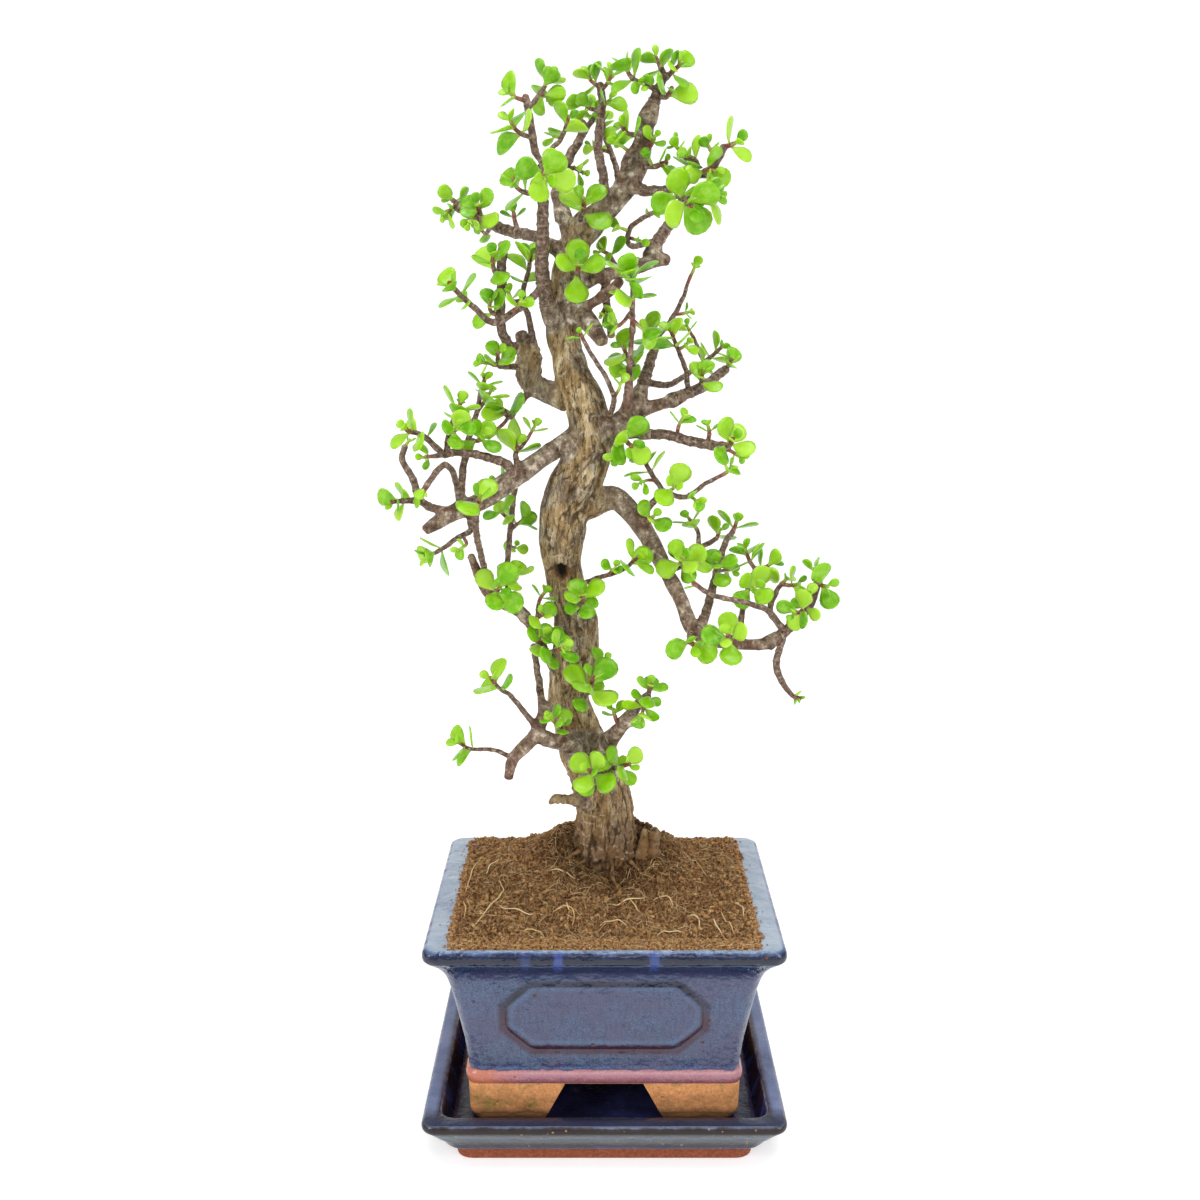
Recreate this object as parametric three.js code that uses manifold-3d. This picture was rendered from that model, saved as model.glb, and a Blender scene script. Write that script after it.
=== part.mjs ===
// A dwarf jade bonsai (Portulacaria afra) in its glazed clay pot, standing in a matching saucer.
// Millimetres, +Z up, the front of the pot towards -Y. The origin is the middle of the saucer's underside.
import * as THREE from "three";
import { mergeVertices } from "three/addons/utils/BufferGeometryUtils.js";
import Module from "manifold-3d";

const wasm = await Module();
wasm.setup();

// Driving dimensions
const GAP = 0.35; // clear space between two pieces that rest on or in each other
const POT_WIDTH = 165; // over the rim, left to right
const POT_DEPTH = 130; // over the rim, front to back
const POT_RIM_Z = 109;
const SAUCER_WIDTH = 170;
const SAUCER_DEPTH = 136;
const SAUCER_RIM_Z = 24;
const SAUCER_FLOOR_Z = 12;
const BAND_BOTTOM_Z = 33; // the raised band between the glazed body and the bare feet
const POT_FLOOR_Z = 41; // inside
const DRAIN_RADIUS = 7;
const SOIL_EDGE_Z = 105.5;
const MOUND_HEIGHT = 27; // how far the soil rises towards the trunk
const TRUNK_FOOT = { x: 2, y: 12, z: 97, radius: 16.5 };
const TREE_SEED = 20; // starts every draw of a leaf's turn, lift and size

const COLOURS = {
  glaze: 0x43527a,
  saucerGlaze: 0x3a4678,
  screen: 0x20242a,
  soil: 0x6b4a2e,
  bark: 0x84705c,
  leaf: 0x6db52a,
};

// The limbs in their order from the ground up: name, then [x, y, z, radius] from foot to tip.
const LIMBS = [
  ["trunk", [
    [2, 12, 97, 16.5], [2, 12, 119, 16.5], [1, 11, 134, 15.5], [0, 10, 151, 13.9], [-3, 8, 166, 13.3],
    [-9, 6, 180, 12.7], [-14, 5, 195, 10.6], [-17, 5, 208, 10.1], [-15, 4, 223, 11.0],
    [-13, 4, 244, 10.7], [-17, 3, 259, 9.0], [-19, 3, 271, 8.9], [-20, 1, 283, 10.2],
    [-19, 0, 295, 11.3], [-17, -1, 305, 11.5], [-11, -3, 317, 11.4], [-7, -2, 328, 10.9],
    [-6, -2, 337, 10.0], [-9, 0, 349, 9.1], [-14, 1, 360, 8.6], [-17, 2, 372, 7.4], [-19, 3, 381, 7.6],
    [-17, 2, 394, 7.8], [-16, 2, 403, 7.8], [-14, 1, 415, 7.3], [-12, 0, 422, 6.2],
  ]],
  ["leader", [
    [-12, 0, 422, 5.7], [-2, -1, 431, 5.3], [7, -2, 440, 5.2], [13, -4, 449, 5.2], [16, -6, 458, 4.3],
    [18, -9, 469, 3.4],
  ]],
  ["left_fork", [[-13, 0, 420, 4.0], [-18, 4, 429, 3.1]]],
  ["left_stump", [
    [-17, 3, 351, 5.0], [-27, 7, 354, 4.6], [-33, 9, 357, 5.0], [-35, 10, 363, 6.0],
    [-34, 10, 371, 5.5],
  ]],
  ["knuckle", [[-34, 10, 369, 4.1], [-38, 7, 380, 2.7]]],
  ["big_left", [
    [-10, 0, 334, 5.0], [-22, -7, 329, 4.3], [-36, -15, 320, 4.5], [-44, -20, 315, 4.9],
    [-55, -26, 308, 4.2], [-66, -31, 304, 3.9], [-73, -34, 300, 3.9], [-78, -36, 297, 2.6],
  ]],
  ["low_left", [
    [-21, 0, 222, 3.3], [-27, -2, 231, 2.4], [-33, -6, 245, 2.6], [-39, -10, 254, 3.2],
    [-46, -13, 259, 3.2], [-52, -16, 263, 2.7], [-56, -19, 271, 2.3], [-60, -22, 283, 1.8],
  ]],
  ["front_low", [[-7, 0, 182, 4.8], [-16, -13, 190, 3.8], [-24, -21, 195, 3.7], [-30, -26, 199, 3.2]]],
  ["spur_low", [
    [-26, -20, 214, 2.8], [-28, -22, 208, 3.0], [-32, -25, 199, 3.2], [-37, -27, 194, 3.2],
    [-42, -30, 189, 2.8], [-44, -33, 181, 2.3],
  ]],
  ["right_low", [[-2, 0, 183, 4.8], [4, -9, 193, 3.8], [10, -18, 203, 3.0]]],
  ["right_arch", [
    [-12, 2, 302, 6.5], [0, 1, 305, 5.5], [6, 0, 305, 5.1], [14, -2, 297, 4.8], [21, -6, 287, 4.4],
    [28, -11, 274, 3.7], [35, -16, 261, 3.4], [40, -20, 249, 3.6], [48, -23, 244, 3.0],
    [63, -27, 243, 2.5], [73, -30, 244, 2.7],
  ]],
  ["mid_node", [[-2, 0, 338, 5.0], [7, -6, 338, 4.5]]],
  ["mid_low", [[5, -4, 337, 3.6], [16, -8, 336, 2.2]]],
  ["mid_high", [[3, -3, 337, 4.1], [16, 3, 345, 3.6], [30, 8, 349, 2.8]]],
  ["mid_up", [[5, -3, 339, 3.6], [15, 5, 349, 3.2]]],
  ["mid_stub", [[5, -5, 338, 3.2], [10, -9, 349, 2.5], [11, -16, 367, 1.5], [12, -22, 384, 1.3]]],
  ["short_stub", [[-14, -2, 392, 4.0], [-6, -11, 384, 4.0], [-1, -18, 377, 3.0]]],
  ["upper_right", [
    [-14, 2, 401, 4.0], [-2, 6, 405, 2.9], [12, 12, 408, 3.2], [23, 16, 412, 3.4], [29, 18, 412, 2.7],
  ]],
  ["upper_front", [[-14, -2, 391, 2.7], [-6, -8, 393, 2.2], [3, -15, 399, 2.6], [7, -18, 403, 2.2]]],
  ["dead_knob", [[-7, 0, 157, 3.9], [-18, -6, 160, 1.9], [-23, -7, 161, 1.7], [-26, -8, 159, 1.2]]],
];

// The leafy sprays: name, then its twigs as [first radius, last radius, pairs of leaves, leaf length, route].
const SPRAYS = [
  ["leader_crown", [
    [3.4, 1.3, 0, 0, [[18, -9, 469], [21, -10, 477], [24, -12, 484], [27, -12, 487]]],
    [1.3, 0.9, 3, 9, [[26, -12, 485], [23, -10, 491], [21, -8, 495]]],
    [1.2, 0.8, 3, 9, [[27, -12, 486], [30, -16, 489], [32, -18, 491]]],
    [1.3, 0.8, 3, 11, [[23, -10, 480], [17, -13, 483], [11, -17, 485], [8, -18, 491]]],
    [0.8, 0.7, 2, 8, [[14, -14, 481], [16, -20, 482]]],
    [1.4, 0.9, 4, 12, [[22, -10, 477], [26, -14, 478], [28, -18, 481]]],
  ]],
  ["leader_front", [
    [1.1, 0.8, 3, 7, [[18, -6, 457], [20, -15, 459], [21, -18, 462]]],
  ]],
  ["centre_tall", [
    [2.1, 1.7, 0, 0, [[1, -1, 435], [-1, 8, 450], [-3, 14, 461], [-1, 20, 478], [-2, 22, 488]]],
    [1, 0.7, 3, 9, [[-2, 22, 486], [-6, 24, 490], [-7, 24, 494]]],
    [1, 0.7, 3, 9, [[-2, 22, 485], [2, 19, 489], [3, 17, 494]]],
    [1, 0.7, 3, 9, [[-2, 20, 476], [-6, 24, 478], [-11, 28, 482]]],
    [0.9, 0.7, 2, 10, [[-1, 20, 478], [3, 16, 481]]],
  ]],
  ["centre_twin", [
    [1.5, 1.1, 4, 10, [[3, -1, 436], [6, 14, 448], [3, 20, 459], [0, 24, 467], [-1, 26, 474]]],
    [0.8, 0.7, 2, 8, [[3, 20, 459], [-4, 24, 461], [-7, 26, 462]]],
  ]],
  ["centre_front", [
    [1.8, 0.8, 3, 10, [[6, -3, 441], [9, -14, 453], [14, -18, 461], [9, -20, 463], [7, -20, 466]]],
    [0.8, 0.6, 1, 8, [[10, -15, 456], [5, -19, 459]]],
  ]],
  ["left_fork", [
    [3.1, 1.6, 0, 0, [[-18, 4, 429], [-21, 9, 441], [-18, 13, 452], [-13, 18, 461], [-8, 28, 471]]],
    [1.2, 0.8, 3, 7, [[-18, 13, 450], [-14, 17, 452], [-9, 20, 450]]],
    [1.4, 0.9, 4, 8, [[-9, 26, 469], [-5, 32, 475], [-2, 38, 481]]],
    [0.9, 0.7, 2, 8, [[-8, 28, 471], [-12, 33, 476]]],
  ]],
  ["red_pole", [
    [3.6, 1.9, 0, 0, [
      [-22, -4, 385], [-25, -7, 392], [-27, -14, 407], [-26, -24, 430], [-26, -30, 449],
    ]],
    [1.3, 0.8, 3, 11, [[-27, -27, 440], [-32, -32, 438], [-36, -34, 440], [-38, -34, 444]]],
    [1.8, 1, 0, 0, [[-26, -30, 446], [-26, -31, 450]]],
    [1.6, 1.5, 0, 0, [[-26, -31, 450], [-29, -30, 456], [-31, -26, 468], [-33, -22, 477]]],
    [1.1, 0.8, 4, 12, [[-26, -31, 450], [-25, -42, 445], [-24, -50, 442]]],
    [1, 0.7, 3, 10, [[-33, -23, 475], [-37, -26, 476], [-40, -28, 478]]],
    [1, 0.8, 4, 12, [[-30, -29, 460], [-36, -33, 462], [-39, -35, 467]]],
    [1.1, 0.8, 3, 9, [[-31, -25, 472], [-26, -18, 480], [-23, -14, 487]]],
    [0.9, 0.7, 2, 10, [[-27, -19, 479], [-24, -12, 478]]],
    [1.3, 0.8, 3, 10, [[-26, -29, 444], [-22, -24, 456], [-18, -20, 461], [-15, -16, 470]]],
    [0.8, 0.6, 1, 8, [[-18, -20, 461], [-22, -17, 462]]],
    [1.6, 1.5, 0, 0, [[-26, -12, 402], [-33, -18, 394], [-45, -24, 386], [-50, -26, 386]]],
    [1.4, 1, 4, 10, [[-50, -26, 386], [-55, -30, 391], [-62, -34, 398], [-65, -36, 402]]],
    [0.9, 0.7, 2, 9, [[-40, -20, 387], [-38, -28, 391], [-35, -32, 395]]],
  ]],
  ["high_right", [
    [2.6, 1.2, 0, 0, [[11, -5, 443], [19, -12, 440], [30, -19, 441], [38, -26, 445], [42, -28, 447]]],
    [1.8, 1.2, 4, 11, [[35, -24, 446], [38, -26, 450], [34, -28, 453]]],
    [1, 0.7, 2, 9, [[36, -26, 449], [31, -22, 456], [29, -20, 459]]],
    [1.2, 0.9, 3, 10, [[40, -28, 447], [42, -34, 447], [45, -37, 446]]],
    [1.9, 1.7, 0, 0, [[39, -26, 445], [43, -30, 446], [46, -32, 451], [49, -33, 456]]],
    [1.1, 0.8, 4, 11, [[49, -33, 456], [53, -36, 457], [54, -37, 458]]],
    [0.9, 0.7, 2, 9, [[46, -32, 451], [43, -30, 456], [42, -28, 458]]],
    [1.5, 1, 4, 14, [[30, -19, 441], [31, -34, 436], [35, -46, 432]]],
    [1, 0.8, 3, 11, [[32, -36, 435], [39, -42, 436], [46, -44, 435]]],
  ]],
  ["high_right_inner", [
    [1.4, 1.1, 2, 8, [[13, -5, 446], [17, -12, 450], [22, -17, 450], [26, -20, 451]]],
    [0.7, 0.6, 1, 6, [[20, -15, 450], [18, -18, 454]]],
  ]],
  ["upper_lift", [
    [3.2, 2.3, 0, 0, [[21, 16, 413], [24, 21, 420], [29, 27, 427], [34, 32, 433]]],
    [1.4, 1, 3, 8, [[33, 31, 432], [32, 34, 437], [30, 36, 440]]],
    [1.4, 1, 2, 7, [[20, 16, 413], [12, 8, 418], [11, 6, 425], [17, 8, 430], [23, 12, 433]]],
    [0.8, 0.6, 1, 7, [[11, 6, 424], [6, 4, 426]]],
    [0.8, 0.6, 1, 6, [[12, 6, 421], [16, 0, 420]]],
  ]],
  ["upper_arm_low", [
    [1.2, 0.8, 3, 9, [[6, 8, 408], [2, 2, 414], [-2, -2, 416]]],
  ]],
  ["left_arm", [
    [2.6, 2.3, 0, 0, [
      [-20, 0, 416], [-31, 6, 422], [-40, 10, 424], [-47, 14, 426], [-56, 18, 430], [-67, 22, 436],
    ]],
    [1.6, 0.9, 4, 9, [[-63, 21, 435], [-68, 24, 438], [-71, 27, 440]]],
    [0.9, 0.7, 3, 7, [[-66, 24, 437], [-70, 20, 434], [-73, 17, 431]]],
    [1.3, 0.9, 3, 11, [[-55, 17, 429], [-56, 10, 433], [-56, 6, 436]]],
    [0.8, 0.7, 2, 8, [[-56, 11, 432], [-59, 4, 429], [-60, 2, 427]]],
    [1.2, 0.8, 2, 9, [[-39, 10, 424], [-40, 12, 429], [-41, 14, 434]]],
    [1.1, 0.8, 2, 9, [[-51, 16, 427], [-54, 24, 424], [-57, 30, 426]]],
  ]],
  ["rod_left", [
    [2.2, 2.2, 0, 0, [[-34, 8, 371], [-43, 0, 375], [-46, -4, 384], [-45, -8, 407], [-44, -10, 418]]],
    [1.2, 0.8, 3, 12, [[-45, -7, 401], [-48, -14, 408], [-48, -18, 414]]],
    [1.1, 0.8, 3, 10, [[-46, -5, 387], [-50, -10, 390], [-50, -12, 395]]],
  ]],
  ["rod_inner", [
    [1.6, 0.8, 4, 12, [[-31, 6, 371], [-34, 0, 387], [-36, -4, 397], [-33, -8, 408], [-32, -10, 415]]],
    [1, 0.7, 2, 9, [[-36, -3, 395], [-40, -10, 394], [-42, -13, 398]]],
  ]],
  ["stump_left", [
    [1.6, 0.9, 3, 10, [[-34, 9, 364], [-41, 2, 365], [-47, -6, 366], [-47, -12, 372]]],
    [0.9, 0.7, 2, 8, [[-47, -5, 366], [-51, -10, 367], [-55, -12, 368]]],
  ]],
  ["stump_low", [
    [1.7, 1.1, 3, 12, [[-33, 8, 355], [-39, 2, 348], [-43, -2, 343], [-46, -6, 347]]],
    [0.9, 0.7, 2, 8, [[-42, -1, 344], [-47, -8, 339], [-51, -12, 337]]],
  ]],
  ["big_left_upper", [
    [2.2, 1.6, 0, 0, [
      [-38, -21, 319], [-44, -26, 325], [-54, -32, 329], [-64, -36, 331], [-69, -38, 330],
    ]],
    [1.5, 0.9, 4, 10, [[-69, -38, 330], [-76, -42, 338], [-82, -46, 341], [-84, -48, 343]]],
    [1.2, 0.7, 2, 8, [[-68, -38, 330], [-74, -34, 329], [-79, -30, 328]]],
    [1.4, 0.8, 3, 11, [[-68, -38, 330], [-66, -34, 341], [-63, -30, 349], [-62, -28, 352]]],
    [0.9, 0.7, 3, 9, [[-66, -35, 340], [-63, -42, 341], [-61, -46, 343]]],
  ]],
  ["big_left_drop", [
    [1.5, 1.2, 1, 6, [
      [-63, -30, 305], [-64, -40, 320], [-67, -46, 327], [-71, -48, 324], [-77, -48, 316],
    ]],
  ]],
  ["big_left_pole", [
    [1.9, 0.9, 3, 9, [
      [-63, -30, 306], [-63, -24, 318], [-60, -20, 334], [-56, -14, 349], [-53, -10, 361],
    ]],
    [1, 0.7, 3, 10, [[-57, -15, 346], [-53, -12, 351], [-50, -10, 356]]],
    [1, 0.7, 3, 10, [[-60, -20, 335], [-55, -28, 335], [-52, -32, 338]]],
  ]],
  ["big_left_tail", [
    [2, 1.3, 0, 0, [
      [-68, -33, 304], [-77, -28, 306], [-82, -24, 309], [-85, -20, 317], [-90, -16, 325],
      [-89, -14, 331],
    ]],
    [1.7, 0.8, 4, 9, [[-81, -25, 308], [-88, -30, 309], [-93, -34, 309]]],
    [0.8, 0.6, 2, 7, [[-89, -14, 331], [-87, -12, 334]]],
  ]],
  ["big_left_low", [
    [1.5, 0.8, 3, 11, [
      [-59, -28, 306], [-59, -32, 296], [-65, -36, 293], [-73, -40, 288], [-78, -42, 287],
    ]],
    [0.8, 0.7, 2, 8, [[-62, -34, 295], [-60, -42, 292], [-63, -46, 290]]],
  ]],
  ["big_left_inner", [
    [1.7, 0.9, 4, 12, [[-38, -17, 319], [-40, -12, 327], [-39, -9, 332]]],
    [0.9, 0.7, 2, 9, [[-39, -13, 325], [-35, -6, 333], [-31, -3, 340]]],
  ]],
  ["low_left_rise", [
    [1.3, 1.5, 0, 0, [[-52, -17, 265], [-55, -26, 284], [-56, -38, 301], [-54, -42, 309]]],
    [1.1, 0.8, 4, 13, [[-55, -41, 307], [-53, -46, 314]]],
  ]],
  ["low_left_top", [
    [1.4, 1.2, 0, 0, [[-44, -12, 258], [-45, -6, 273], [-44, -2, 286], [-42, 0, 305], [-41, 2, 310]]],
    [1, 0.7, 3, 10, [[-44, -1, 291], [-39, 4, 294], [-35, 6, 296]]],
    [0.9, 0.7, 3, 9, [[-43, -1, 295], [-47, -6, 300], [-48, -8, 303]]],
    [1.1, 0.7, 3, 9, [[-44, -9, 265], [-40, -14, 271], [-40, -16, 276]]],
    [0.8, 0.6, 2, 8, [[-44, -2, 284], [-42, 6, 281], [-42, 9, 281]]],
    [0.8, 0.6, 2, 9, [[-41, 1, 308], [-47, 0, 313], [-50, -2, 314]]],
  ]],
  ["low_left_head", [
    [1.3, 0.9, 4, 13, [[-51, -16, 263], [-48, -28, 268], [-46, -34, 271]]],
  ]],
  ["low_left_knot", [
    [1.5, 0.9, 4, 10, [[-34, -6, 247], [-31, -14, 252], [-28, -18, 255]]],
    [1, 0.8, 2, 9, [[-32, -12, 251], [-30, -8, 259], [-27, -6, 263]]],
  ]],
  ["riser", [
    [1.9, 1.3, 0, 0, [[-28, -22, 208], [-30, -14, 218], [-32, -10, 231], [-33, -10, 238]]],
    [1.1, 0.8, 4, 11, [[-33, -10, 236], [-30, -16, 242], [-27, -20, 245]]],
    [1.2, 0.8, 4, 11, [[-32, -10, 233], [-25, -18, 237], [-18, -24, 241]]],
  ]],
  ["spur_low_left", [
    [1.5, 0.8, 3, 11, [[-31, -23, 202], [-42, -32, 220], [-48, -36, 226], [-51, -38, 231]]],
  ]],
  ["spur_low_tip", [
    [1.2, 0.8, 3, 11, [[-42, -30, 190], [-50, -36, 196], [-60, -40, 198], [-66, -42, 202]]],
  ]],
  ["front_low_head", [
    [1.3, 0.9, 3, 9, [[-20, -16, 192], [-20, -22, 200], [-19, -25, 205]]],
    [0.9, 0.7, 3, 7, [[-20, -21, 198], [-23, -29, 207], [-25, -31, 211]]],
  ]],
  ["trunk_front_low", [
    [1.6, 1.1, 5, 13, [[-3, -4, 172], [-5, -22, 179], [-7, -30, 184]]],
  ]],
  ["trunk_right_low", [
    [1.4, 0.9, 4, 11, [[0, -4, 174], [6, -16, 180], [12, -22, 184]]],
  ]],
  ["trunk_front_mid", [
    [1.4, 1, 4, 14, [[-14, 2, 204], [-10, -16, 213], [-6, -24, 223], [-5, -26, 228]]],
    [0.9, 0.7, 2, 10, [[-8, -20, 217], [-2, -14, 226], [0, -8, 231]]],
  ]],
  ["right_low_end", [
    [3, 1.8, 0, 0, [[10, -18, 203], [15, -22, 212], [20, -26, 219]]],
    [1.6, 0.9, 5, 9, [[16, -24, 214], [20, -29, 220], [21, -32, 226]]],
    [1, 0.7, 3, 9, [[18, -27, 217], [17, -34, 213], [16, -36, 210]]],
  ]],
  ["right_low_mid", [
    [1.1, 0.8, 4, 8, [[7, -14, 198], [5, -20, 206], [4, -22, 211]]],
  ]],
  ["trunk_front_high", [
    [1.3, 0.9, 4, 11, [[-14, 2, 247], [-10, -16, 259], [-10, -22, 266]]],
  ]],
  ["trunk_right_mid", [
    [1.3, 0.8, 3, 11, [[-13, 0, 264], [-2, -8, 270], [8, -16, 275], [16, -22, 283]]],
    [0.8, 0.7, 2, 9, [[2, -10, 271], [5, -20, 277]]],
  ]],
  ["arch_front", [
    [1.3, 0.9, 3, 10, [[16, -1, 295], [20, -12, 297], [22, -18, 300]]],
  ]],
  ["arch_rise", [
    [1.8, 1.2, 0, 0, [[16, -1, 296], [23, -8, 306], [26, -12, 311]]],
    [1.3, 0.9, 3, 11, [[26, -12, 311], [21, -10, 319], [17, -8, 326]]],
    [0.8, 0.6, 2, 8, [[24, -11, 315], [19, -16, 316], [15, -20, 315]]],
    [1.3, 0.8, 0, 0, [[26, -12, 311], [36, -18, 309], [44, -22, 315], [54, -26, 321]]],
    [0.9, 0.7, 3, 12, [[29, -14, 310], [31, -24, 315]]],
    [0.9, 0.7, 2, 9, [[38, -19, 310], [41, -26, 308]]],
    [0.8, 0.6, 2, 9, [[53, -25, 320], [56, -27, 324]]],
  ]],
  ["arch_inner", [
    [1.7, 1.2, 0, 0, [[28, -8, 273], [38, 2, 274], [45, 12, 279], [54, 20, 283]]],
    [1.1, 0.8, 4, 12, [[36, 0, 273], [35, -14, 278], [35, -20, 282]]],
    [1.2, 0.7, 3, 10, [[45, 12, 279], [44, 14, 288], [39, 14, 295]]],
    [1, 0.8, 3, 10, [[54, 20, 283], [56, 24, 287]]],
  ]],
  ["arch_lift", [
    [2.4, 1.3, 0, 0, [[43, -20, 247], [48, -10, 257], [52, -2, 270], [57, 8, 283], [61, 12, 288]]],
    [1.1, 0.8, 4, 11, [[60, 12, 287], [63, 14, 293]]],
    [1.1, 0.8, 3, 11, [[52, -2, 269], [51, -12, 278]]],
    [0.9, 0.7, 2, 8, [[53, -1, 271], [61, 8, 270]]],
  ]],
  ["arch_middle", [
    [1.5, 1.1, 0, 0, [[62, -26, 243], [63, -16, 255], [67, -10, 268], [70, -6, 274]]],
    [1, 0.8, 3, 10, [[70, -6, 273], [66, -4, 279], [65, -2, 283]]],
    [1, 0.8, 3, 10, [[70, -6, 273], [75, -4, 274], [79, -2, 276]]],
    [1, 0.8, 3, 11, [[66, -11, 265], [68, -22, 268]]],
  ]],
  ["arch_end", [
    [2.7, 1.4, 0, 0, [[73, -30, 244], [81, -28, 249], [89, -26, 256], [94, -23, 263], [97, -20, 272]]],
    [1.2, 0.8, 1, 8, [[94, -22, 265], [96, -18, 272], [95, -16, 276]]],
    [1.1, 0.8, 4, 12, [[96, -20, 270], [98, -26, 270], [100, -28, 270]]],
    [1.2, 0.8, 4, 10, [[92, -24, 259], [87, -34, 260], [83, -38, 260]]],
    [0.9, 0.7, 2, 9, [[89, -29, 260], [90, -34, 266], [90, -36, 270]]],
    [1.7, 1.1, 0, 0, [[75, -30, 245], [75, -22, 257], [78, -18, 265], [81, -16, 269]]],
    [1, 0.8, 2, 8, [[80, -16, 268], [83, -18, 272]]],
    [1, 0.8, 3, 10, [[81, -16, 268], [85, -20, 269], [88, -22, 270]]],
    [1.4, 1.1, 1, 7, [[74, -28, 245], [72, -36, 261], [62, -38, 265], [48, -36, 268], [39, -34, 273]]],
    [1.9, 1, 2, 6, [[74, -30, 241], [77, -34, 234], [83, -40, 224], [87, -42, 222]]],
  ]],
  ["arch_head", [
    [1.6, 1, 5, 13, [[56, -25, 243], [56, -36, 248], [54, -42, 251]]],
  ]],
  ["arch_head_left", [
    [1.6, 1, 5, 13, [[40, -18, 250], [38, -32, 246], [39, -38, 246]]],
  ]],
  ["mid_low", [
    [2.2, 2.2, 0, 0, [[16, -8, 336], [28, -13, 336], [42, -20, 333], [54, -26, 332]]],
    [1.5, 0.9, 4, 11, [[51, -24, 332], [54, -32, 334], [55, -36, 337]]],
    [0.9, 0.7, 2, 8, [[52, -27, 333], [57, -24, 329], [60, -22, 327]]],
    [1.1, 0.7, 2, 9, [[45, -21, 332], [46, -22, 338], [45, -22, 342]]],
  ]],
  ["mid_under", [
    [1.4, 1, 4, 13, [[4, -4, 336], [9, -16, 334], [12, -24, 332]]],
    [0.9, 0.7, 2, 8, [[6, -12, 335], [5, -18, 329], [4, -20, 326]]],
  ]],
  ["mid_high", [
    [2.8, 2.1, 0, 0, [[30, 8, 349], [47, 16, 356], [57, 22, 363]]],
    [1.3, 0.9, 3, 11, [[55, 21, 362], [58, 20, 365], [59, 18, 368]]],
    [1.1, 0.8, 3, 10, [[41, 13, 353], [44, 6, 358], [45, 2, 364]]],
    [1.3, 0.8, 3, 12, [[39, 12, 353], [37, 4, 363], [32, -2, 375], [29, -4, 382]]],
    [0.8, 0.7, 2, 9, [[33, -1, 372], [37, -7, 376]]],
  ]],
  ["mid_up", [
    [3.2, 1.9, 0, 0, [[15, 5, 349], [20, 15, 363], [25, 24, 377]]],
    [1.2, 0.9, 3, 12, [[24, 23, 375], [22, 20, 379], [21, 18, 382]]],
    [1.7, 0.9, 4, 11, [[18, 10, 356], [30, 18, 356], [40, 26, 361], [50, 30, 368], [56, 32, 373]]],
    [1, 0.7, 2, 8, [[47, 29, 366], [43, 34, 375], [39, 38, 383]]],
    [1.2, 0.8, 4, 12, [[17, 10, 357], [13, 4, 366], [9, 0, 372], [8, -2, 375]]],
    [0.9, 0.7, 2, 10, [[14, 6, 364], [10, -4, 365]]],
    [1.5, 0.8, 0, 0, [[21, 22, 375], [30, 28, 383], [36, 34, 393], [41, 38, 406]]],
    [0.9, 0.7, 3, 11, [[41, 38, 405], [43, 40, 410]]],
    [0.8, 0.7, 2, 6, [[33, 31, 387], [41, 32, 389]]],
  ]],
  ["mid_stub_head", [
    [1.3, 0.9, 7, 13, [[12, -20, 381], [12, -24, 390], [12, -26, 401], [11, -28, 410]]],
  ]],
  ["red_riser", [
    [1.3, 0.9, 2, 7, [[1, -5, 339], [4, -20, 353], [0, -24, 363], [-7, -26, 374], [-11, -26, 382]]],
    [0.8, 0.6, 1, 7, [[4, -19, 351], [6, -22, 356], [7, -24, 360]]],
  ]],
  ["mottled_drop", [
    [1.8, 1.7, 0, 0, [[1, 8, 405], [0, 2, 397], [2, -2, 387], [3, -4, 379]]],
    [1, 0.8, 3, 9, [[1, 0, 392], [-2, -10, 387]]],
  ]],
  ["trunk_front_top", [
    [1.3, 0.9, 4, 13, [[-14, 0, 403], [-12, -16, 406], [-11, -22, 410]]],
  ]],
  ["fork_front", [
    [1.2, 0.9, 3, 12, [[-12, 0, 424], [-9, -13, 432], [-9, -17, 437]]],
  ]],
];

// Joining and cutting
function solid(geometry) {
  const bare = new THREE.BufferGeometry();
  bare.setAttribute("position", geometry.getAttribute("position"));
  bare.setIndex(geometry.index);
  const merged = mergeVertices(bare, 1e-4);
  return new wasm.Manifold(
    new wasm.Mesh({
      numProp: 3,
      vertProperties: new Float32Array(merged.attributes.position.array),
      triVerts: new Uint32Array(merged.index.array),
    }),
  );
}

function joined(solids) {
  return solids.reduce((all, next) => all.add(next));
}

function geometryOf(body) {
  const mesh = body.getMesh();
  const geometry = new THREE.BufferGeometry();
  geometry.setAttribute("position", new THREE.BufferAttribute(mesh.vertProperties, 3));
  geometry.setIndex(new THREE.BufferAttribute(mesh.triVerts, 1));
  geometry.computeVertexNormals();
  return geometry;
}

// A closed skin over rings of equally many points, fanned shut at the first and the last ring.
function skin(rings, firstTip = centreOf(rings[0]), lastTip = centreOf(rings.at(-1))) {
  const count = rings[0].length;
  const points = rings.flat().concat([firstTip, lastTip]);
  const first = points.length - 2;
  const last = points.length - 1;
  const top = (rings.length - 1) * count;
  const index = [];
  for (let i = 0; i < count; i++) {
    const j = (i + 1) % count;
    for (let k = 0; k < rings.length - 1; k++) {
      const a = k * count + i;
      const b = k * count + j;
      index.push(a, b, b + count, a, b + count, a + count);
    }
    index.push(first, j, i, last, top + i, top + j);
  }
  const geometry = new THREE.BufferGeometry().setFromPoints(points);
  geometry.setIndex(index);
  return solid(geometry);
}

function centreOf(ring) {
  const sum = new THREE.Vector3();
  ring.forEach((point) => sum.add(point));
  return sum.divideScalar(ring.length);
}

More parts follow.
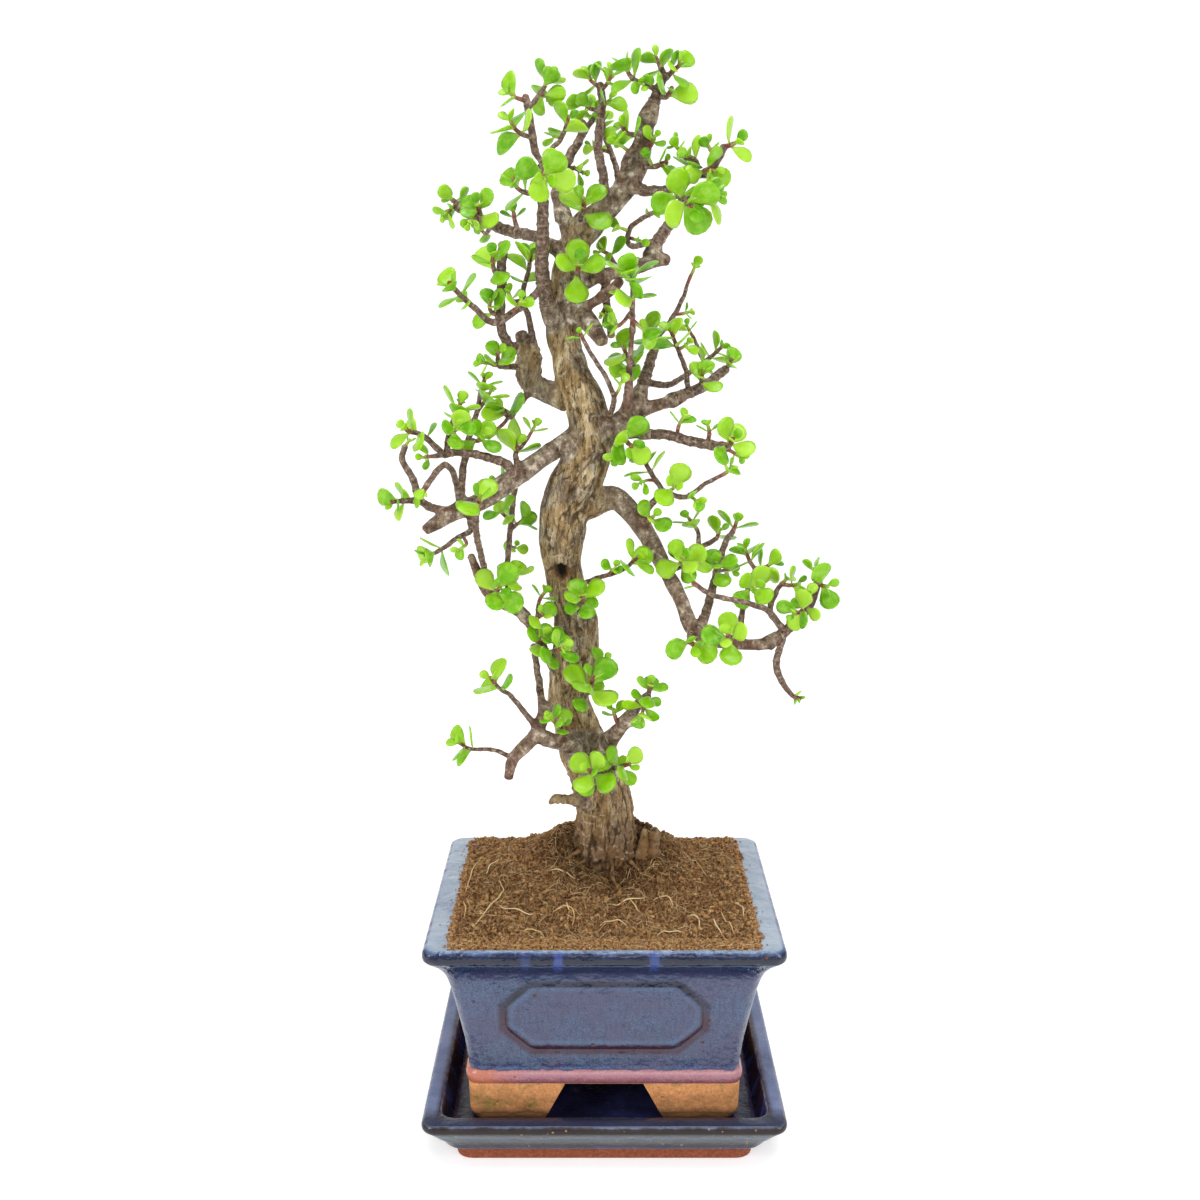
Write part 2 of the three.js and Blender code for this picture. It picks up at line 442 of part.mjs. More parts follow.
// A level rectangle with round corners, anticlockwise seen from above.
function rectangle(halfWidth, halfDepth, radius, z, sidePoints = 0) {
  const CORNER_STEPS = 2;
  const ring = [];
  const corners = [
    [1, -1, -90],
    [1, 1, 0],
    [-1, 1, 90],
    [-1, -1, 180],
  ];
  corners.forEach(([sx, sy, start]) => {
    for (let i = 0; i <= CORNER_STEPS; i++) {
      const angle = THREE.MathUtils.degToRad(start + (90 * i) / CORNER_STEPS);
      const x = sx * (halfWidth - radius) + radius * Math.cos(angle);
      const y = sy * (halfDepth - radius) + radius * Math.sin(angle);
      ring.push(new THREE.Vector3(x, y, z));
    }
  });
  if (!sidePoints) return ring;
  return ring.flatMap((point, i) => {
    if (i % (CORNER_STEPS + 1) !== CORNER_STEPS) return [point];
    const next = ring[(i + 1) % ring.length];
    const between = [];
    for (let k = 1; k <= sidePoints; k++) between.push(point.clone().lerp(next, k / (sidePoints + 1)));
    return [point, ...between];
  });
}

function box(x0, x1, y0, y1, z0, z1) {
  const geometry = new THREE.BoxGeometry(x1 - x0, y1 - y0, z1 - z0);
  geometry.translate((x0 + x1) / 2, (y0 + y1) / 2, (z0 + z1) / 2);
  return solid(geometry);
}

// A flat outline of [across, up] points, extruded through depth and centred on it.
function prism(outline, depth) {
  const shape = new THREE.Shape(outline.map(([x, y]) => new THREE.Vector2(x, y)));
  const geometry = new THREE.ExtrudeGeometry(shape, { depth, bevelEnabled: false });
  geometry.translate(0, 0, -depth / 2);
  geometry.rotateX(Math.PI / 2);
  return geometry;
}

// Saucer: a shallow glazed tray with a flat rim, on a bare clay foot. Each row of its profile is half the
// width, the height, the corner radius, and how much further out the front and the back stand there.
function saucer() {
  const width = SAUCER_WIDTH / 2;
  const inward = (SAUCER_WIDTH - SAUCER_DEPTH) / 2;
  const profile = [
    [width - 15, 0, 6, 4],
    [width - 15, 4.6, 6, 4],
    [width - 11, 5.2, 7, 3],
    [width - 9.5, 7, 7, 2.5],
    [width - 6, 13, 7, 1],
    [width - 1.5, 18.5, 6, 0],
    [width, 19.8, 5, 0],
    [width, SAUCER_RIM_Z - 0.8, 5, 0],
    [width - 0.8, SAUCER_RIM_Z, 5, 0],
    [width - 7.5, SAUCER_RIM_Z, 4, 0],
    [width - 8.5, SAUCER_RIM_Z - 0.8, 4, 0],
    [width - 12, SAUCER_FLOOR_Z + 1, 4, 0],
    [width - 13.5, SAUCER_FLOOR_Z, 3, 0],
  ];
  return skin(profile.map(([half, z, radius, out]) => rectangle(half, half - inward + out, radius, z)));
}

// Pot: one fired piece with a flared body, a recessed panel front and back, a raised band and four bare feet.
const RIM_BACK = (POT_WIDTH - POT_DEPTH) / 2; // how much nearer the middle the front is than the side
const POT_OUTSIDE = [
  [61, BAND_BOTTOM_Z - 0.5, 5],
  [64.3, BAND_BOTTOM_Z, 6],
  [65.8, BAND_BOTTOM_Z + 2, 7],
  [65.8, BAND_BOTTOM_Z + 5, 7],
  [64.2, BAND_BOTTOM_Z + 7, 6],
  [66, 56, 5],
  [68.5, 71, 5],
  [70.9, 83, 5],
  [73.2, 92, 5],
  [77, 98.5, 6],
  [81.3, 103.5, 6],
  [POT_WIDTH / 2, 105, 6],
  [POT_WIDTH / 2, POT_RIM_Z - 1.4, 6],
  [POT_WIDTH / 2 - 1.4, POT_RIM_Z, 6],
];
const POT_INSIDE_TOP = { halfWidth: 70.5, halfDepth: 56.5, radius: 5 };
const POT_INSIDE_FLOOR = { halfWidth: 58, halfDepth: 41, radius: 5 };

function insideRing(z, clearance = 0, sidePoints = 0) {
  const share = (z - POT_FLOOR_Z) / (POT_RIM_Z - POT_FLOOR_Z);
  const at = (key) => THREE.MathUtils.lerp(POT_INSIDE_FLOOR[key], POT_INSIDE_TOP[key], share);
  return rectangle(at("halfWidth") - clearance, at("halfDepth") - clearance, at("radius"), z, sidePoints);
}

function pot() {
  const outside = POT_OUTSIDE.map(([half, z, radius]) => rectangle(half, half - RIM_BACK, radius, z));
  const body = skin([...outside, insideRing(POT_RIM_Z), insideRing(POT_FLOOR_Z)]);
  const base = SAUCER_FLOOR_Z + GAP;
  const feet = skin([
    rectangle(61, 44.5, 4, base),
    rectangle(64.2, 46.7, 5, base + 4.5),
    rectangle(64.6, 47.1, 5, BAND_BOTTOM_Z + 0.8),
  ]);
  const archFront = prism(
    [
      [-31, base - 1],
      [31, base - 1],
      [18.5, BAND_BOTTOM_Z],
      [-18.5, BAND_BOTTOM_Z],
    ],
    POT_DEPTH,
  );
  const archSide = prism(
    [
      [-20, base - 1],
      [20, base - 1],
      [10, BAND_BOTTOM_Z],
      [-10, BAND_BOTTOM_Z],
    ],
    POT_WIDTH,
  );
  archSide.rotateZ(Math.PI / 2);
  const under = box(-47, 47, -31, 31, base - 1, BAND_BOTTOM_Z);
  const drain = new THREE.CylinderGeometry(DRAIN_RADIUS, DRAIN_RADIUS, 30, 16);
  drain.rotateX(Math.PI / 2);
  drain.translate(0, 0, POT_FLOOR_Z);
  return joined([body, feet])
    .subtract(solid(archFront))
    .subtract(solid(archSide))
    .subtract(under)
    .subtract(solid(drain))
    .subtract(panel(1))
    .subtract(panel(-1));
}

// The cut-corner panel, sunk a little into the slope of the front (side -1) or the back (side 1).
function panel(side) {
  const [halfWidth, halfHeight, cut, sunk, slope] = [46, 19, 12, 1.3, 10];
  const middle = { z: 71, y: 68.5 - RIM_BACK };
  const depth = 12;
  const geometry = prism(
    [
      [-halfWidth + cut, -halfHeight],
      [halfWidth - cut, -halfHeight],
      [halfWidth, -halfHeight + cut],
      [halfWidth, halfHeight - cut],
      [halfWidth - cut, halfHeight],
      [-halfWidth + cut, halfHeight],
      [-halfWidth, halfHeight - cut],
      [-halfWidth, -halfHeight + cut],
    ],
    depth,
  );
  geometry.rotateX(THREE.MathUtils.degToRad(side * -slope));
  geometry.translate(0, side * (middle.y + depth / 2 - sunk), middle.z);
  return solid(geometry);
}

// Plastic mesh over the drain hole, under the soil.
function drainScreen() {
  const [half, thick, opening, pitch] = [11, 1.2, 4, 6];
  const floor = POT_FLOOR_Z + GAP;
  let plate = box(-half, half, -half, half, floor, floor + thick);
  for (let i = -1; i <= 1; i++) {
    for (let j = -1; j <= 1; j++) {
      const [x, y, r] = [i * pitch, j * pitch, opening / 2];
      plate = plate.subtract(box(x - r, x + r, y - r, y + r, floor - 1, floor + thick + 1));
    }
  }
  return plate;
}

// Soil: fills the pot and rises to the trunk, which stands in a plain hole.
function soil() {
  const SIDE_POINTS = 2;
  const ROUGHNESS = 1.6;
  const MOUND_REACH = 26; // how far out from the trunk the rise dies away
  const bottom = POT_FLOOR_Z + 2 + GAP;
  const hole = TRUNK_FOOT.radius + 1.9;
  const edge = insideRing(SOIL_EDGE_Z, GAP, SIDE_POINTS);
  const middle = new THREE.Vector3(TRUNK_FOOT.x, TRUNK_FOOT.y, SOIL_EDGE_Z);
  const lump = draws(7);
  const rings = [insideRing(bottom, GAP, SIDE_POINTS), edge];
  [0.12, 0.32, 0.52, 0.7, 0.86, 1].forEach((share) => {
    rings.push(
      edge.map((point) => {
        const away = point.clone().sub(middle);
        const rim = middle.clone().add(away.clone().setLength(hole));
        const at = point.clone().lerp(rim, share);
        const distance = at.distanceTo(middle);
        at.z = SOIL_EDGE_Z + MOUND_HEIGHT * Math.exp(-(((distance - hole) / MOUND_REACH) ** 2)) + share * 2;
        at.z += share < 1 ? ROUGHNESS * (lump() - 0.5) : 0;
        return at;
      }),
    );
  });
  rings.push(rings.at(-1).map((point) => point.clone().setZ(TRUNK_FOOT.z - GAP)));
  return skin(rings);
}

// Wood and leafy stems
function draws(seed) {
  let state = seed;
  return () => {
    state = (state * 1664525 + 1013904223) % 4294967296;
    return state / 4294967296;
  };
}

// A tapering rod along [x, y, z, radius] points. Its foot is flat, and its tip is blunt or flat.
function rod(points, sides, tip = 0.25) {
  const centres = points.map(([x, y, z]) => new THREE.Vector3(x, y, z));
  const tangents = centres.map((_, i) => {
    const from = centres[Math.max(i - 1, 0)];
    const to = centres[Math.min(i + 1, centres.length - 1)];
    return to.clone().sub(from).normalize();
  });
  let across = new THREE.Vector3(0, 1, 0).cross(tangents[0]);
  if (across.length() < 0.3) across = new THREE.Vector3(1, 0, 0).cross(tangents[0]);
  const rings = centres.map((centre, i) => {
    const tangent = tangents[i];
    across = across.sub(tangent.clone().multiplyScalar(across.dot(tangent))).normalize();
    const up = tangent.clone().cross(across);
    const ring = [];
    for (let k = 0; k < sides; k++) {
      const angle = (2 * Math.PI * k) / sides;
      const out = across.clone().multiplyScalar(Math.cos(angle)).addScaledVector(up, Math.sin(angle));
      ring.push(centre.clone().addScaledVector(out, points[i][3]));
    }
    return ring;
  });
  const end = centres.at(-1).clone().addScaledVector(tangents.at(-1), tip * points.at(-1)[3]);
  return skin(rings, centres[0], end);
}

function sidesFor(radius) {
  if (radius > 9) return 10;
  if (radius > 4) return 6;
  return radius > 2 ? 5 : 4;
}

// The radius that a twig has along its route, thinning evenly from first to last.
function tapered(route, first, last) {
  const lengths = alongRoute(route);
  const whole = lengths.at(-1);
  return route.map((point, i) => [...point, first + ((last - first) * lengths[i]) / whole]);
}

function alongRoute(route) {
  const lengths = [0];
  for (let i = 1; i < route.length; i++) lengths.push(lengths[i - 1] + distance(route[i - 1], route[i]));
  return lengths;
}

function distance(a, b) {
  return Math.hypot(a[0] - b[0], a[1] - b[1], a[2] - b[2]);
}

// The [x, y, z, ...] row at a length along a route.
function rowAt(route, length) {
  const lengths = alongRoute(route);
  let i = 1;
  while (i < route.length - 1 && lengths[i] < length) i++;
  const share = (length - lengths[i - 1]) / (lengths[i] - lengths[i - 1]);
  return route[i].map((value, k) => route[i - 1][k] + (value - route[i - 1][k]) * share);
}

// The part of a route from one length along it to another.
function stretch(route, from, to) {
  const lengths = alongRoute(route);
  const kept = route.filter((_, i) => lengths[i] > from + 0.5 && lengths[i] < to - 0.5);
  return [rowAt(route, from), ...kept, rowAt(route, to)];
}

// The nearest row of any of the routes to a point.
function nearestRow(routes, point) {
  let best = null;
  routes.forEach((route) => {
    const whole = alongRoute(route).at(-1);
    const steps = Math.ceil(whole);
    for (let i = 0; i <= steps; i++) {
      const row = rowAt(route, (whole * i) / steps);
      const away = distance(row, point);
      if (!best || away < best.away) best = { row, away };
    }
  });
  return best;
}

// How far along its route a twig is clear of the limbs that it springs from.
function clearLength(route) {
  const CLEAR = 1.2;
  const SEARCHED = 0.7; // of the twig's length
  const whole = alongRoute(route).at(-1);
  let length = 0;
  for (let s = 0; s < whole * SEARCHED; s += 0.5) {
    const row = rowAt(route, s);
    const touches = LIMBS.some(([, limb]) => {
      const { row: host, away } = nearestRow([limb], row);
      return away < host[3] + row[3] + CLEAR;
    });
    if (touches) length = s + 0.5;
    else if (length) break;
  }
  return length;
}

// A leaf: a fleshy wedge that widens from the stem to past its middle and ends round.
const LEAF_WIDEST = 0.6; // where along the leaf
const LEAF_END_WIDTH = 0.55; // of its widest
const LEAF_WIDTH = 0.8; // of its length
const LEAF_THICKNESS = 1.9;
const LEAF_CUP = 0.07; // how far its edges stand above its middle, of its length
const STEM_BULGE = 1.1; // how much wider the square section is than the round twig
const SHORT_LEAF = 9; // a twig with leaves under this has one pair here, and any other has two
const SMALLEST_HEAD = 19; // pairs times leaf length, below which a side twig is left out
const NODE_HEIGHT = 1.1; // the stretch of stem that a pair of leaves grows from

// The corners of a leaf past its foot on the stem: four round its widest place, and two at its end.
function leafShape(foot, along, leaf, [turnBy, liftBy, scale], grow = 0) {
  const middle = centreOf(foot);
  const turn = THREE.MathUtils.degToRad(leaf.wobble + turnBy);
  const lift = THREE.MathUtils.degToRad(leaf.lift + liftBy);
  const right = foot[1].clone().sub(foot[0]).applyAxisAngle(along, turn);
  right.addScaledVector(along, -right.dot(along)).normalize();
  const level = right.clone().cross(along);
  const out = level.clone().multiplyScalar(Math.cos(lift)).addScaledVector(along, Math.sin(lift));
  const up = out.clone().cross(right);
  const length = leaf.size * scale;
  const half = (length * LEAF_WIDTH) / 2 + grow;
  const deep = (LEAF_THICKNESS * Math.min(1, 0.55 + length / 25)) / 2 + grow;
  const cup = LEAF_CUP * length;
  const point = (share, sideways, raised) =>
    middle
      .clone()
      .addScaledVector(out, share * length + grow)
      .addScaledVector(right, sideways)
      .addScaledVector(up, raised);
  return {
    widest: [
      point(LEAF_WIDEST, 0, -deep),
      point(LEAF_WIDEST, half, cup),
      point(LEAF_WIDEST, 0, deep),
      point(LEAF_WIDEST, -half, cup),
    ],
    end: [point(1, half * LEAF_END_WIDTH, cup / 2), point(1, -half * LEAF_END_WIDTH, cup / 2)],
  };
}

// Adds a leaf's corners to points, and its faces to index, on the four corners of its foot.
function growLeaf(points, index, foot, { widest, end }) {
  const [under, right, upper, left] = widest.map((point) => points.push(point) - 1);
  const [endRight, endLeft] = end.map((point) => points.push(point) - 1);
  const middle = [under, right, upper, left];
  foot.forEach((a, k) => {
    const b = foot[(k + 1) % 4];
    const [c, d] = [middle[(k + 1) % 4], middle[k]];
    index.push(a, b, c, a, c, d);
  });
  index.push(under, right, endRight, under, endRight, endLeft, under, endLeft, left);
  index.push(upper, endRight, right, upper, endLeft, endRight, upper, left, endLeft);
}

function leafAlone(foot, along, leaf, change, grow) {
  const points = [...foot];
  const index = [3, 2, 1, 3, 1, 0];
  growLeaf(points, index, [0, 1, 2, 3], leafShape(foot, along, leaf, change, grow));
  const geometry = new THREE.BufferGeometry().setFromPoints(points);
  geometry.setIndex(index);
  return solid(geometry);
}

// The square sections of a leafy twig: at its bends, and below and above every node of leaves.
function sectionsOf(rows, nodes, turn) {
  const lengths = alongRoute(rows);
  const whole = lengths.at(-1);
  const marks = lengths.slice(0, -1).filter((s) => nodes.every((node) => Math.abs(node.s - s) > NODE_HEIGHT));
  nodes.forEach((node) => marks.push(node.s - NODE_HEIGHT / 2, node.s + NODE_HEIGHT / 2));
  if (!nodes.some((node) => whole - node.s < NODE_HEIGHT)) marks.push(whole);
  marks.sort((a, b) => a - b);
  const rings = squareRings(rows, marks, turn);
  nodes.forEach((node) => {
    node.low = rings[marks.indexOf(node.s - NODE_HEIGHT / 2)];
    node.high = rings[marks.indexOf(node.s + NODE_HEIGHT / 2)];
  });
  return rings;
}

// A square twig with its leaves growing out of its sides, as one skin.
function leafyTwig({ rings, nodes }) {
  const points = rings.flatMap(({ ring }) => ring);
  const index = [];
  const quad = (a, b, c, d) => index.push(a, b, c, a, c, d);
  for (let i = 0; i < rings.length - 1; i++) {
    const node = nodes.find(({ low }) => low === rings[i]);
    for (let k = 0; k < 4; k++) {
      const next = (k + 1) % 4;
      const foot = [4 * i + k, 4 * i + next, 4 * i + 4 + next, 4 * i + 4 + k];
      const leaf = node?.leaves[k];
      if (!leaf?.change) {
        quad(...foot);
        continue;
      }
      const corners = foot.map((j) => points[j]);
      growLeaf(points, index, foot, leafShape(corners, rings[i].tangent, leaf, leaf.change));
    }
  }
  quad(3, 2, 1, 0);
  const last = rings.at(-1);
  const tip = points.push(last.centre.clone().addScaledVector(last.tangent, last.radius)) - 1;
  const end = 4 * (rings.length - 1);
  for (let k = 0; k < 4; k++) index.push(end + k, end + ((k + 1) % 4), tip);
  const geometry = new THREE.BufferGeometry().setFromPoints(points);
  geometry.setIndex(index);
  return solid(geometry);
}

// Square sections of a twig at the given lengths along it.
function squareRings(rows, marks, turn) {
  let across = null;
  return marks.map((s) => {
    const whole = alongRoute(rows).at(-1);
    const row = rowAt(rows, s);
    const before = new THREE.Vector3(...rowAt(rows, Math.max(s - 0.7, 0)).slice(0, 3));
    const after = new THREE.Vector3(...rowAt(rows, Math.min(s + 0.7, whole)).slice(0, 3));
    const tangent = after.sub(before).normalize();
    if (!across) {
      across = new THREE.Vector3(0, 1, 0).cross(tangent);
      if (across.length() < 0.3) across = new THREE.Vector3(1, 0, 0).cross(tangent);
      across.normalize().applyAxisAngle(tangent, THREE.MathUtils.degToRad(turn));
    }
    across = across.clone().addScaledVector(tangent, -across.dot(tangent)).normalize();
    const up = tangent.clone().cross(across);
    const centre = new THREE.Vector3(row[0], row[1], row[2]);
    const ring = [0, 1, 2, 3].map((k) => {
      const angle = (Math.PI / 2) * (k - 0.5);
      const out = across.clone().multiplyScalar(Math.cos(angle)).addScaledVector(up, Math.sin(angle));
      return centre.clone().addScaledVector(out, row[3] * STEM_BULGE);
    });
    return { ring, centre, tangent, radius: row[3] };
  });
}

// The leaves of one twig: opposite pairs down from its tip, each a quarter turn from the last.
const PAIR_SIZES = [0.62, 0.95, 1, 0.92, 0.85, 0.8, 0.75];
const PAIR_SPACING = [0.1, 0.26, 0.34, 0.42, 0.5, 0.55, 0.6]; // of a leaf's length, from the pair above
const LIFTS = [46, 24, 12, 4, 0, 0, 0]; // degrees above square to the twig, down from its tip

function pairsOf(route, count, length, draw) {
  const whole = alongRoute(route).at(-1);
  const pairs = [];
  let s = whole;
  for (let i = 0; i < count; i++) {
    s -= Math.max(PAIR_SPACING[i] * length, NODE_HEIGHT + 0.3);
    const leaves = [0, 1].map(() => ({
      wobble: 24 * (draw() - 0.5),
      lift: LIFTS[i] + 18 * draw(),
      size: length * (count > 1 ? PAIR_SIZES[i] : 1) * (0.9 + 0.25 * draw()),
    }));
    pairs.push({ s, leaves });
  }
  return pairs.filter((pair) => pair.s > whole * 0.15 + 1);
}

// Ways to turn, lift or shrink a leaf until it is clear of its neighbours: [turned, lifted, size].
const ADJUSTMENTS = [
  [0, 0, 1],
  [0, 18, 1],
  [25, 5, 1],
  [-25, 5, 1],
  [0, -25, 0.95],
  [0, 38, 0.9],
  [40, 15, 0.8],
  [-40, 15, 0.8],
  [0, 20, 0.65],
];

function boxesMeet(a, b) {
  return [0, 1, 2].every((k) => a.min[k] < b.max[k] && b.min[k] < a.max[k]);
}

function crosses(body, obstacles) {
  const bounds = body.boundingBox();
  const meets = (other) => boxesMeet(bounds, other.bounds) && body.intersect(other.body).volume() > 1e-6;
  return obstacles.some(meets);
}

function obstacle(body, owner) {
  return { body, owner, bounds: body.boundingBox() };
}

const ROOM = 0.3; // clear space round a leaf
const SWOLLEN = 1.3; // how much of its radius round a twig is kept free of other twigs' leaves
const KEPT_SPUR = 1.5; // the length of a spray's first twig that no other twig springs from

// The first twig of a spray starts on a limb: the limb keeps its foot as a spur, and the spray goes on
// from there.
function stemsOf(twigs) {
  const stems = [];
  let spur = null;
  const shown = twigs.filter(([, , count, length], i) => i === 0 || !count || count * length > SMALLEST_HEAD);
  shown.forEach(([first, last, count, length, route], i) => {
    let rows = tapered(route, first, last);
    if (i === 0) {
      const bare = clearLength(rows);
      spur = stretch(rows, 0, bare);
      rows = stretch(rows, bare + GAP, alongRoute(rows).at(-1));
    } else {
      const hosts = stems.map((stem) => stem.rows);
      hosts[0] = stretch(hosts[0], first + KEPT_SPUR, alongRoute(hosts[0]).at(-1));
      const host = nearestRow(hosts, route[0]).row;
      rows[0] = [host[0], host[1], host[2], Math.min(first, host[3])];
    }
    stems.push({ rows, count, length });
  });
  return { spur, stems };
}

function tree() {
  const sprays = SPRAYS.map(([name, twigs], i) => {
    const draw = draws(TREE_SEED + 101 * i);
    return { name, draw, ...stemsOf(twigs) };
  });
  const limbs = LIMBS.map(([, points]) => rod(points, sidesFor(points[0][3])));
  const spurs = sprays.map(({ spur }) => rod(spur, sidesFor(spur[0][3]), 0));
  const wood = joined([...limbs, ...spurs]);
  const widened = (rows) => rows.map(([x, y, z, radius]) => [x, y, z, radius * SWOLLEN]);
  const stemBodies = (stems) => stems.map(({ rows }) => rod(widened(rows), 6));
  const obstacles = [obstacle(wood, "wood")];
  sprays.forEach(({ name, stems }) => {
    obstacles.push(...stemBodies(stems).map((body) => obstacle(body, name)));
  });
  sprays.forEach((spray) => {
    spray.stems.forEach((stem) => {
      stem.nodes = pairsOf(stem.rows, stem.count, stem.length, spray.draw);
      const turn = 90 * spray.draw();
      if (stem.nodes.length > 1) stem.nodes.splice(0, 1);
      stem.nodes.splice(stem.length < SHORT_LEAF ? 1 : 2);
      if (stem.nodes.length) stem.rings = sectionsOf(stem.rows, stem.nodes, turn);
      stem.nodes.forEach((node, i) => {
        const { low, high } = node;
        const pair = node.leaves;
        node.leaves = {};
        pair.forEach((leaf, side) => {
          const k = (i % 2) + 2 * side;
          node.leaves[k] = leaf;
          const foot = [low.ring[k], low.ring[(k + 1) % 4], high.ring[(k + 1) % 4], high.ring[k]];
          const others = obstacles.filter(({ owner }) => owner !== spray.name && owner !== stem);
          const shape = (change, grow) => leafAlone(foot, low.tangent, leaf, change, grow);
          leaf.change = ADJUSTMENTS.find((change) => !crosses(shape(change, ROOM), others));
          if (leaf.change) obstacles.push(obstacle(shape(leaf.change, 0), stem));
        });
      });
    });
    const twigs = spray.stems.map((stem) =>
      stem.rings ? leafyTwig(stem) : rod(stem.rows, sidesFor(stem.rows[0][3])),
    );
    spray.body = joined(twigs);
  });
  return { wood, sprays };
}

function material(colour, roughness) {
  return new THREE.MeshStandardMaterial({ color: colour, roughness, metalness: 0, flatShading: true });
}

function piece(name, body, finish) {
  const mesh = new THREE.Mesh(geometryOf(body), finish);
  mesh.name = name;
  return mesh;
}

const bonsai = new THREE.Group();
bonsai.name = "dwarf_jade_bonsai";
bonsai.add(piece("saucer", saucer(), material(COLOURS.saucerGlaze, 0.2)));
bonsai.add(piece("pot", pot(), material(COLOURS.glaze, 0.25)));
bonsai.add(piece("drain_screen", drainScreen(), material(COLOURS.screen, 0.6)));
bonsai.add(piece("soil", soil(), material(COLOURS.soil, 0.95)));
const { wood, sprays } = tree();
bonsai.add(piece("wood", wood, material(COLOURS.bark, 0.85)));
const leafy = material(COLOURS.leaf, 0.35);
sprays.forEach(({ name, body }) => bonsai.add(piece("spray_" + name, body, leafy)));

export default bonsai;
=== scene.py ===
# %% [markdown]
# # A dwarf jade bonsai in its glazed pot
# This lesson dresses a small potted tree: a bent trunk with its limbs, leafy sprays, soil, a glazed pot and
# its saucer. The solid pieces of the tree and its pot are loaded first. They stay where they are, and each
# piece made here takes the place of one of them.

# %% The solid pieces
import math
import random
from functools import partial

import bpy
import numpy as np
from mathutils import Matrix, Vector, kdtree, noise


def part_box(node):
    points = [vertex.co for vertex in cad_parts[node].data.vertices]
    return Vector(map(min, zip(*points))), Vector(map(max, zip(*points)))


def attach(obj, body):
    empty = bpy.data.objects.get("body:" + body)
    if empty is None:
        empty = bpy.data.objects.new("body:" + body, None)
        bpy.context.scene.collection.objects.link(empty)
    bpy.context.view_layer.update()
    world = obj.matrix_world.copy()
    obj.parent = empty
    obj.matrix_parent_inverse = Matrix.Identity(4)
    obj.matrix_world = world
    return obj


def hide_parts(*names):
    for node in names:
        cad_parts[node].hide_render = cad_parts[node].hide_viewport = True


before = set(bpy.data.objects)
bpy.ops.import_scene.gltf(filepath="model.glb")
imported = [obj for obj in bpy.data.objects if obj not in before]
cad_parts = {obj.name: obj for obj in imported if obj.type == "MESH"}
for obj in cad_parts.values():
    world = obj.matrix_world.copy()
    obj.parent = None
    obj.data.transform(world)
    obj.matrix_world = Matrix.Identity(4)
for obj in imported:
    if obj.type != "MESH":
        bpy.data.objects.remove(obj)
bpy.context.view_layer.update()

MM = 0.001

# %% [markdown]
# The camera stands a little above the middle of the tree, as for a product picture, and looks slightly
# down, so the soil, the pot's wide rim and the inside of the saucer all show. Its lens is a short
# portrait lens. The place was worked out from how the rim, the feet and the saucer look in the picture.

# %% Camera
CAMERA_PLACE = Vector((-2.0, -599.2, 398.7)) * MM
CAMERA_PITCH = 13.28  # degrees below level
CAMERA_LENS = 39.36  # on a sensor 36 mm wide

camera_data = bpy.data.cameras.new("camera")
camera_data.lens = CAMERA_LENS
camera_data.sensor_width = 36.0
camera = bpy.data.objects.new("camera", camera_data)
camera.location = CAMERA_PLACE
camera.rotation_euler = (math.radians(90.0 - CAMERA_PITCH), 0.0, 0.0)
bpy.context.scene.collection.objects.link(camera)
bpy.context.scene.camera = camera

# %% [markdown]
# Soft light from all round keeps the leaves fresh and the shadows weak. A white world does most of the
# work. Two tall panels stand in front, left and right, and give the glaze its bright streaks. A panel
# above the tree and one above the camera lift the leaves. The floor is nearly white, so it runs into the
# background with only a faint shadow under the saucer.

# %% Helpers for colour and shaders
def linear(hex_colour):
    """An sRGB hex colour as the linear colour that a shader takes."""
    channels = [int(hex_colour[i : i + 2], 16) / 255 for i in (1, 3, 5)]
    return [c / 12.92 if c <= 0.04045 else ((c + 0.055) / 1.055) ** 2.4 for c in channels] + [1.0]


def fill(node, *values, **named):
    """Fills the inputs of a node that are in use: the first ones in order, the named ones by their names. A
    value is a number, a hex colour, a node, whose first output in use is taken, or (node, output name)."""
    used = [socket for socket in node.inputs if socket.enabled]
    chosen = list(zip(used, values))
    for key, value in named.items():
        chosen.append((next(socket for socket in used if socket.name == key.replace("_", " ")), value))
    for socket, value in chosen:
        if isinstance(value, bpy.types.Node):
            value = (value, next(output.name for output in value.outputs if output.enabled))
        if isinstance(value, tuple) and isinstance(value[0], bpy.types.Node):
            source = next(output for output in value[0].outputs if output.enabled and output.name == value[1])
            node.id_data.links.new(source, socket)
        else:
            socket.default_value = linear(value) if isinstance(value, str) else value


def add_node(tree, kind, *values, stops=(), **named):
    """Adds a shader node and fills its inputs. Names in small letters are the node's own settings, and stops
    are the places and hex colours of a ramp."""
    node = tree.nodes.new("ShaderNode" + kind)
    for key in [key for key in named if key.islower()]:
        setattr(node, key, named.pop(key))
    for _ in stops[2:]:
        node.color_ramp.elements.new(0.5)
    for element, (place, colour) in zip(node.color_ramp.elements if stops else (), stops):
        element.position = place
        element.color = linear(colour)
    fill(node, *values, **named)
    return node


def new_material(name):
    """A material, with add, which adds a node to it, and finish, which fills the inputs of its shader."""
    material = bpy.data.materials.new(name)
    material.use_nodes = True
    tree = material.node_tree
    shader = next(node for node in tree.nodes if node.type == "BSDF_PRINCIPLED")
    return material, partial(add_node, tree), partial(fill, shader)


def coat(material, *pieces):
    for piece in pieces:
        piece.data.materials.clear()
        piece.data.materials.append(material)


def per_mm(size):
    """The texture scale that gives a pattern with features of this size in millimetres."""
    return 1000.0 / size


